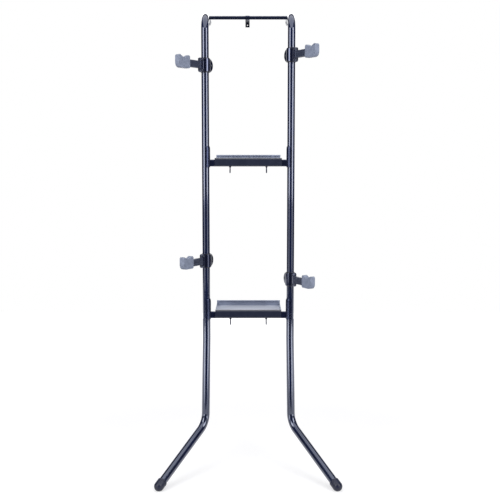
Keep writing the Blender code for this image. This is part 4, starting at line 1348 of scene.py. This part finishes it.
@dataclass
class CradleArm:
    """One arm: bush, two clamp halves, grooved bar, rubber cradle and screws.

    Shapes are in the arm's own frame: Z up the tube, X along the arm, and the clamp's two
    halves on either side of y = 0. The four arms share their meshes.
    """

    name: str
    side: Side
    height: float
    swing_deg: float
    half_spacing: float = HALF_SPACING
    bush_bore: float = 0.0179
    bush_outer: float = 0.0204
    bush_height: float = 0.066
    bush_rim: float = 0.0006
    clamp_bore: float = 0.0208
    clamp_outer: float = 0.0243
    barrel_height: float = 0.060
    barrel_edge: float = 0.0012
    barrel_softness: float = 0.3
    parting: float = 0.0006
    flange_face: float = 0.0043
    flange_outside: float = 0.0093
    flange_edge: float = 0.0018
    pad_overlap: float = 0.0025
    lobe: Corner = (-0.012, 0.0, 0.034)
    corner_reach: float = 0.031
    corner_rise: float = 0.024
    corner_radius: float = 0.009
    rear_setback: float = 0.034
    screw_length: float = 0.0176
    screw_hole: float = 0.03
    seat_radius: float = 0.0066
    seat_depth: float = 0.0003
    tang: float = 0.008
    arm_height: float = 0.033
    arm_width: float = 0.020
    arm_corner: float = 0.004
    arm_edge: float = 0.0005
    groove_spacing: float = 0.0085
    groove_width: float = 0.0035
    groove_corner: float = 0.0017
    groove_depth: float = 0.0015
    groove_inset: float = 0.004
    cradle_reach: float = 0.152
    cradle_length: float = 0.072
    cradle_width: float = 0.025
    cradle_below: float = 0.0075
    cradle_seat: float = 0.0190
    cradle_horn: float = 0.033
    cradle_edge: float = 0.0024
    horn_width: float = 0.013
    horn_corner: float = 0.006
    seat_corner: float = 0.008
    heel_corner: float = 0.004
    toe_corner: float = 0.018
    end_wall: float = 0.006
    flare_deg: float = 35.0
    flare_seat: float = 0.0225

    @property
    def place(self) -> Matrix:
        """Return the arm's frame in the rack.

        Returns:
            The frame on the tube's axis, turned by the arm's swing.
        """
        swing = math.radians(self.swing_deg)
        turn = math.atan2(-math.cos(swing), self.side.value * math.sin(swing))
        pivot = Matrix.Translation((self.side.value * self.half_spacing, 0.0, self.height))
        return pivot @ Matrix.Rotation(turn, 4, "Z")

    @property
    def screw_places(self) -> dict[str, Point2]:
        """Return each clamp screw's place, as (x, z)."""
        reach, rise = self.corner_reach, self.corner_rise
        return {"top": (reach, rise), "bottom": (reach, -rise), "rear": (-self.rear_setback, 0.0)}

    def corner_discs(self, clearance: float = 0.0) -> list[Corner]:
        """Return the two discs round the arm's own screws, as hull_plate takes them."""
        return [(x, z, self.corner_radius - clearance) for x, z in list(self.screw_places.values())[:2]]

    def half_barrel(self, face: int) -> Solid:
        """Return the half tube of one clamp half.

        Args:
            face: +1 or -1, the side of the parting plane.

        Returns:
            The half tube, with chamfered ends.
        """
        half, outer, edge = self.barrel_height / 2, self.clamp_outer, self.barrel_edge
        steps, soft = 36, edge * self.barrel_softness
        trim = math.asin(self.parting / self.clamp_bore)
        upper = [(self.clamp_bore, half), (outer - edge, half), (outer - soft, half - soft),
                 (outer, half - edge)]
        section = [(radius, -z) for radius, z in upper] + upper[::-1]
        bm = bmesh.new()
        angles = [face * (trim + (math.pi - 2 * trim) * k / steps) for k in range(steps + 1)]
        return skin(bm, [[bm.verts.new((radius * math.cos(angle), radius * math.sin(angle), z))
                          for radius, z in section] for angle in angles])

    def clamp_mesh(self, name: str, face: int) -> bpy.types.Mesh:
        """Build one clamp half.

        Args:
            name: the mesh's name.
            face: +1 or -1, the side of the parting plane.

        Returns:
            The clamp half's mesh.
        """
        outside = face * self.flange_outside
        flange = hull_plate([self.lobe, *self.corner_discs()], span(face * self.flange_face, outside), 72)
        round_rim(flange, [outside], self.flange_edge)
        pad_low, pad_high = span(face * self.parting, face * (self.flange_face + self.pad_overlap))
        pad = rod(aimed(Vector((-self.rear_setback, pad_low, 0.0)), Y_AXIS, X_AXIS), self.corner_radius,
                  pad_high - pad_low, 40)
        tools = [cutter(Vector(), Z_AXIS, self.clamp_bore, FAR_THROUGH, 72),
                 (Operation.JOIN, self.half_barrel(face)), (Operation.JOIN, pad)]
        for x, z in self.screw_places.values():
            tools.append(cutter(Vector((x, face * self.flange_face, z)), Y_AXIS, M6.hole, self.screw_hole))
            tools.append(cutter(Vector((x, outside, z)), Y_AXIS, self.seat_radius, 2 * self.seat_depth, 40))
        return carved(name, flange, tools)

    def bar_mesh(self, name: str) -> bpy.types.Mesh:
        """Build the grooved bar with its tang.

        Args:
            name: the mesh's name.

        Returns:
            The bar's mesh.
        """
        end = self.cradle_reach + self.cradle_length / 2 - self.end_wall - GAP
        start = self.corner_reach + self.corner_radius + GAP
        half_tang, half_w, half_h = self.tang / 2, self.arm_width / 2, self.arm_height / 2
        tang = hull_plate(self.corner_discs(GAP), (-half_tang, half_tang), 48)
        bar = extruded(rounded_rectangle((-half_w, -half_h), (half_w, half_h), (self.arm_corner,) * 2, 6),
                       X_AXIS, (start, end))
        neck = block((self.corner_reach, -half_tang, -half_h),
                     (start + self.groove_inset, half_tang, half_h))
        tools = [cutter(Vector(), Z_AXIS, self.clamp_outer + GAP, FAR_THROUGH, 72), (Operation.JOIN, neck),
                 (Operation.JOIN, bar)]
        tools += [cutter(Vector((x, 0.0, z)), Y_AXIS, M6.hole, self.screw_hole)
                  for x, z, _ in self.corner_discs()]
        ends = (start + self.groove_inset, self.cradle_reach - self.cradle_length / 2 - self.groove_inset)
        for face in (-1, 1):
            sides = span(face * (half_w - self.groove_depth), face * (half_w + self.groove_depth))
            for middle in (-self.groove_spacing, 0.0, self.groove_spacing):
                groove = rounded_rectangle((ends[0], middle - self.groove_width / 2),
                                           (ends[1], middle + self.groove_width / 2),
                                           (self.groove_corner,) * 2, 5)
                tools.append((Operation.CUT, extruded(groove, Y_AXIS, sides)))
        return carved(name, tang, tools, self.arm_edge, edge_deg=50.0)

    def flare(self, turn_deg: float) -> Step:
        """Return the cut that opens the notch for a tube that crosses it at an angle.

        Args:
            turn_deg: how far the cut is turned about the arm's Z axis.

        Returns:
            The cut, as carved() takes it.
        """
        slope = (self.cradle_length / 2 - self.horn_width) / (self.cradle_horn - self.cradle_seat)
        rise = self.cradle_length / 2
        top = self.flare_seat + rise
        outline = [(self.cradle_reach, self.flare_seat), (self.cradle_reach + slope * rise, top),
                   (self.cradle_reach - slope * rise, top)]
        wedge = extruded(outline, Y_AXIS, (-self.cradle_length, self.cradle_length))
        bmesh.ops.rotate(wedge, cent=(self.cradle_reach, 0.0, 0.0), verts=wedge.verts,
                         matrix=Matrix.Rotation(math.radians(turn_deg), 3, "Z"))
        return Operation.CUT, wedge

    def cradle_mesh(self, name: str) -> bpy.types.Mesh:
        """Build the moulded cradle.

        Args:
            name: the mesh's name.

        Returns:
            The cradle's mesh.
        """
        left = self.cradle_reach - self.cradle_length / 2
        right = self.cradle_reach + self.cradle_length / 2
        bottom = -self.arm_height / 2 - self.cradle_below
        horn, corner = self.cradle_horn, self.horn_corner
        outline = rounded_outline([
            (left, bottom, self.heel_corner), (right, bottom, self.toe_corner), (right, horn, corner),
            (right - self.horn_width, horn, corner), (self.cradle_reach, self.cradle_seat, self.seat_corner),
            (left + self.horn_width, horn, corner), (left, horn, corner)], 8)
        sides = (-self.cradle_width / 2, self.cradle_width / 2)
        body = extruded(outline, Y_AXIS, sides)
        round_rim(body, sides, self.cradle_edge)
        half_w, half_h = self.arm_width / 2 + GAP, self.arm_height / 2 + GAP
        pocket = block((left - FAR_THROUGH, -half_w, -half_h), (right - self.end_wall, half_w, half_h))
        return carved(name, body, [self.flare(self.flare_deg), self.flare(-self.flare_deg),
                                   (Operation.CUT, pocket)])

    def liner_mesh(self, name: str) -> bpy.types.Mesh:
        """Build the liner between the tube and the clamp."""
        half = Z_AXIS * (self.bush_height / 2)
        return carved(name, hollow_sweep([-half, half], self.bush_outer, self.bush_bore, 64, self.bush_rim))

    def build(self) -> None:
        """Build the whole arm."""
        inner_face = -self.side.value
        names = {1: "clamp_half_near", -1: "clamp_half_far"}
        near, far = (shared(names[face], self.clamp_mesh, face) for face in (inner_face, -inner_face))
        for piece, mesh, finish, node, body in (
                ("tube_liner", shared("tube_liner", self.liner_mesh), BUSH_NYLON, "bush", "slider"),
                ("near_clamp_half", near, CLAMP_COAT, "clamp_front", "arm"),
                ("far_clamp_half", far, CLAMP_COAT, "clamp_back", "arm"),
                ("grooved_bar", shared("grooved_bar", self.bar_mesh), ARM_NYLON, "arm", "arm"),
                ("soft_cradle", shared("soft_cradle", self.cradle_mesh), CRADLE_RUBBER, "cradle", "arm")):
            place_piece(mesh, finish, f"{self.name}_{node}", body=f"{self.name}_{body}", where=self.place,
                        name=f"{self.name}_{piece}")
        for label, (x, z) in self.screw_places.items():
            head = Vector((x, inner_face * (self.flange_outside + GAP), z))
            seat = aimed(head, Y_AXIS * -inner_face, X_AXIS)
            place_piece(M6.mesh(self.screw_length), ZINC_PLATE, f"{self.name}_{label}_screw",
                        body=f"{self.name}_arm", where=self.place @ seat,
                        name=f"{self.name}_{label}_button_screw")


# Studio


@dataclass(frozen=True)
class Lamp:
    """A soft rectangular lamp, by the brightness of its face."""

    name: str
    place: Corner
    target: Corner
    size: Point2
    radiance: float

    def build(self) -> None:
        """Add the lamp, with the power that gives its face that brightness."""
        data = bpy.data.lights.new(self.name, "AREA")
        data.shape = "RECTANGLE"
        data.size, data.size_y = self.size
        data.energy = self.radiance * math.pi * self.size[0] * self.size[1]
        backward = Vector(self.place) - Vector(self.target)
        level = Z_AXIS.cross(backward)
        add_object(self.name, data).matrix_world = aimed(Vector(self.place), backward,
                                                         level if level.length > MM else X_AXIS)


@dataclass
class Studio:
    """A white sheet to stand on, a white backdrop, soft lamps and the camera."""

    eye: Vector = field(default_factory=lambda: Vector((0.008, -3.85, 1.475)))
    tilt_deg: float = 6.3
    focal_px: float = 820.0
    image_px: float = 500.0
    sensor_mm: float = 36.0
    view_limit: float = 50.0
    paper_colour: str = "#b2b2b4"
    floor_front: float = -0.85
    floor_reach: float = 6.0
    near_lift: float = 0.60
    far_lift: float = 1.0
    lift_from: float = 0.9
    lift_to: float = 3.0
    wall_y: float = 4.0
    half_wall: float = 2.8
    wall_top: float = 3.6
    surround: float = 0.05
    bank_x: float = 2.1
    bank_y: float = -1.75
    bank_width: float = 1.6

    def camera(self) -> None:
        """Add the camera at the photograph's viewing angle."""
        data = bpy.data.cameras.new("studio_camera")
        data.sensor_width = self.sensor_mm
        data.sensor_fit = "HORIZONTAL"
        data.lens = self.sensor_mm * self.focal_px / self.image_px
        data.clip_end = self.view_limit
        camera = add_object("studio_camera", data)
        camera.location = self.eye + Vector((0.0, AXIS_Y, 0.0))
        camera.rotation_euler = (math.radians(90.0 - self.tilt_deg), 0.0, 0.0)
        bpy.context.scene.camera = camera

    def paper(self, name: str) -> tuple[bpy.types.Material, bpy.types.Node, Socket]:
        """Start a matt paper, and tell the rays of the camera and of mirrors from all others.

        Args:
            name: the material's name.

        Returns:
            The material, its shader, and a socket that is 1 for those rays.
        """
        material = bpy.data.materials.new(name)
        material.use_nodes = True
        material.cycles.emission_sampling = "NONE"
        tree = material.node_tree
        shader = tree.nodes["Principled BSDF"]
        shader.inputs["Base Color"].default_value = linear(self.paper_colour)
        rays = add_node(tree, "ShaderNodeLightPath").outputs
        seen = add_node(tree, "ShaderNodeMath", {"operation": "MAXIMUM"},
                        {0: rays["Is Camera Ray"], 1: rays["Is Glossy Ray"]})
        return material, shader, seen.outputs[0]

    def floor_material(self) -> bpy.types.Material:
        """Build the floor: pale and matt, lifted to white where the camera or a mirror sees it.

        The lift is weaker round the rack, so that the rack's soft shadow shows.

        Returns:
            The material.
        """
        material, shader, seen = self.paper("matt_white_studio_paper")
        tree = material.node_tree
        shader.inputs["Roughness"].default_value = 0.8
        shader.inputs["Specular IOR Level"].default_value = 0.1
        place = add_node(tree, "ShaderNodeNewGeometry").outputs["Position"]
        distance = add_node(tree, "ShaderNodeVectorMath", {"operation": "LENGTH"}, {0: place})
        lift = add_node(tree, "ShaderNodeMapRange", {"interpolation_type": "SMOOTHSTEP"}, {
            "Value": distance.outputs["Value"], "From Min": self.lift_from, "From Max": self.lift_to,
            "To Min": self.near_lift, "To Max": self.far_lift})
        strength = add_node(tree, "ShaderNodeMath", {"operation": "MULTIPLY"}, {0: lift.outputs[0], 1: seen})
        glow = add_node(tree, "ShaderNodeEmission", inputs={"Strength": strength.outputs[0]})
        total = add_node(tree, "ShaderNodeAddShader", inputs={0: shader.outputs[0], 1: glow.outputs[0]})
        tree.links.new(total.outputs[0], tree.nodes["Material Output"].inputs["Surface"])
        return material

    def backdrop_material(self) -> bpy.types.Material:
        """Build the backdrop: white for the camera and for mirrors, and clear from behind.

        Returns:
            The material.
        """
        material, shader, seen = self.paper("white_backdrop_paper")
        tree = material.node_tree
        white = add_node(tree, "ShaderNodeEmission", inputs={"Strength": 1.0})
        front = add_node(tree, "ShaderNodeMixShader", inputs={0: seen, 1: shader.outputs[0],
                                                              2: white.outputs[0]})
        behind = add_node(tree, "ShaderNodeNewGeometry").outputs["Backfacing"]
        clear = add_node(tree, "ShaderNodeBsdfTransparent")
        one_sided = add_node(tree, "ShaderNodeMixShader", inputs={0: behind, 1: front.outputs[0],
                                                                  2: clear.outputs[0]})
        tree.links.new(one_sided.outputs[0], tree.nodes["Material Output"].inputs["Surface"])
        return material

    def sheet(self, name: str, corners: Sequence[Corner], material: bpy.types.Material) -> None:
        """Add one flat sheet of the studio.

        Args:
            name: its name.
            corners: its corners in order.
            material: its surface.
        """
        mesh = bpy.data.meshes.new(name)
        mesh.from_pydata(list(corners), [], [tuple(range(len(corners)))])
        mesh.materials.append(material)
        sheet = add_object(name, mesh)

    def world(self) -> None:
        """Surround the rack with white for the camera, and with a dim, even light for all else."""
        world = bpy.data.worlds.new("studio_surround")
        bpy.context.scene.world = world
        world.use_nodes = True
        tree = world.node_tree
        seen = add_node(tree, "ShaderNodeLightPath").outputs["Is Camera Ray"]
        strength = add_node(tree, "ShaderNodeMapRange", inputs={
            "Value": seen, "To Min": self.surround, "To Max": 1.0})
        background = tree.nodes["Background"]
        background.inputs["Color"].default_value = (1.0, 1.0, 1.0, 1.0)
        tree.links.new(strength.outputs[0], background.inputs["Strength"])

    def lamps(self) -> list[Lamp]:
        """Return the lamps: a bank on each side, in three heights, and two overhead.

        Returns:
            The lamps, not yet built.
        """
        found = [Lamp("overhead", (0.0, -1.2, 4.2), (0.0, -1.2, 0.0), (4.8, 5.4), 1.5),
                 Lamp("rear_wash", (0.0, 3.2, 3.4), (0.0, 0.0, 1.2), (4.0, 1.2), 2.6)]
        for side in Side:
            for part, middle, height, radiance in (("upper", 2.28, 2.24, 5.0), ("middle", 0.80, 0.72, 1.3),
                                                   ("lower", -0.40, 1.10, 4.5)):
                place = (side.value * self.bank_x, self.bank_y, middle)
                found.append(Lamp(f"{side.word}_{part}_softbox", place, (0.0, 0.0, middle),
                                  (self.bank_width, height), radiance))
        return found

    def build(self) -> None:
        """Build the whole studio."""
        bpy.context.scene.view_settings.view_transform = "Standard"
        self.camera()
        self.world()
        reach, front, wall, half, top = (self.floor_reach, self.floor_front, self.wall_y, self.half_wall,
                                         self.wall_top)
        self.sheet("floor", [(-reach, front, 0.0), (reach, front, 0.0), (reach, wall, 0.0),
                             (-reach, wall, 0.0)], self.floor_material())
        self.sheet("backdrop", [(-half, wall, 0.0), (half, wall, 0.0), (half, wall, top),
                                (-half, wall, top)], self.backdrop_material())
        for lamp in self.lamps():
            lamp.build()


def main() -> None:
    """Build the rack and its studio."""
    logging.basicConfig(level=logging.INFO, format="%(message)s")
    TubeFrame().build()
    TopBar().build()
    for level in Level:
        Shelf(level).build()
    for name, side, height, swing in (("upper_left", Side.LEFT, 1.904, 38.0),
                                      ("upper_right", Side.RIGHT, 1.950, 34.0),
                                      ("lower_left", Side.LEFT, 0.998, 33.0),
                                      ("lower_right", Side.RIGHT, 0.910, 30.0)):
        CradleArm(name, side, height, swing).build()
    Studio().build()


if __name__ == "__main__":
    main()
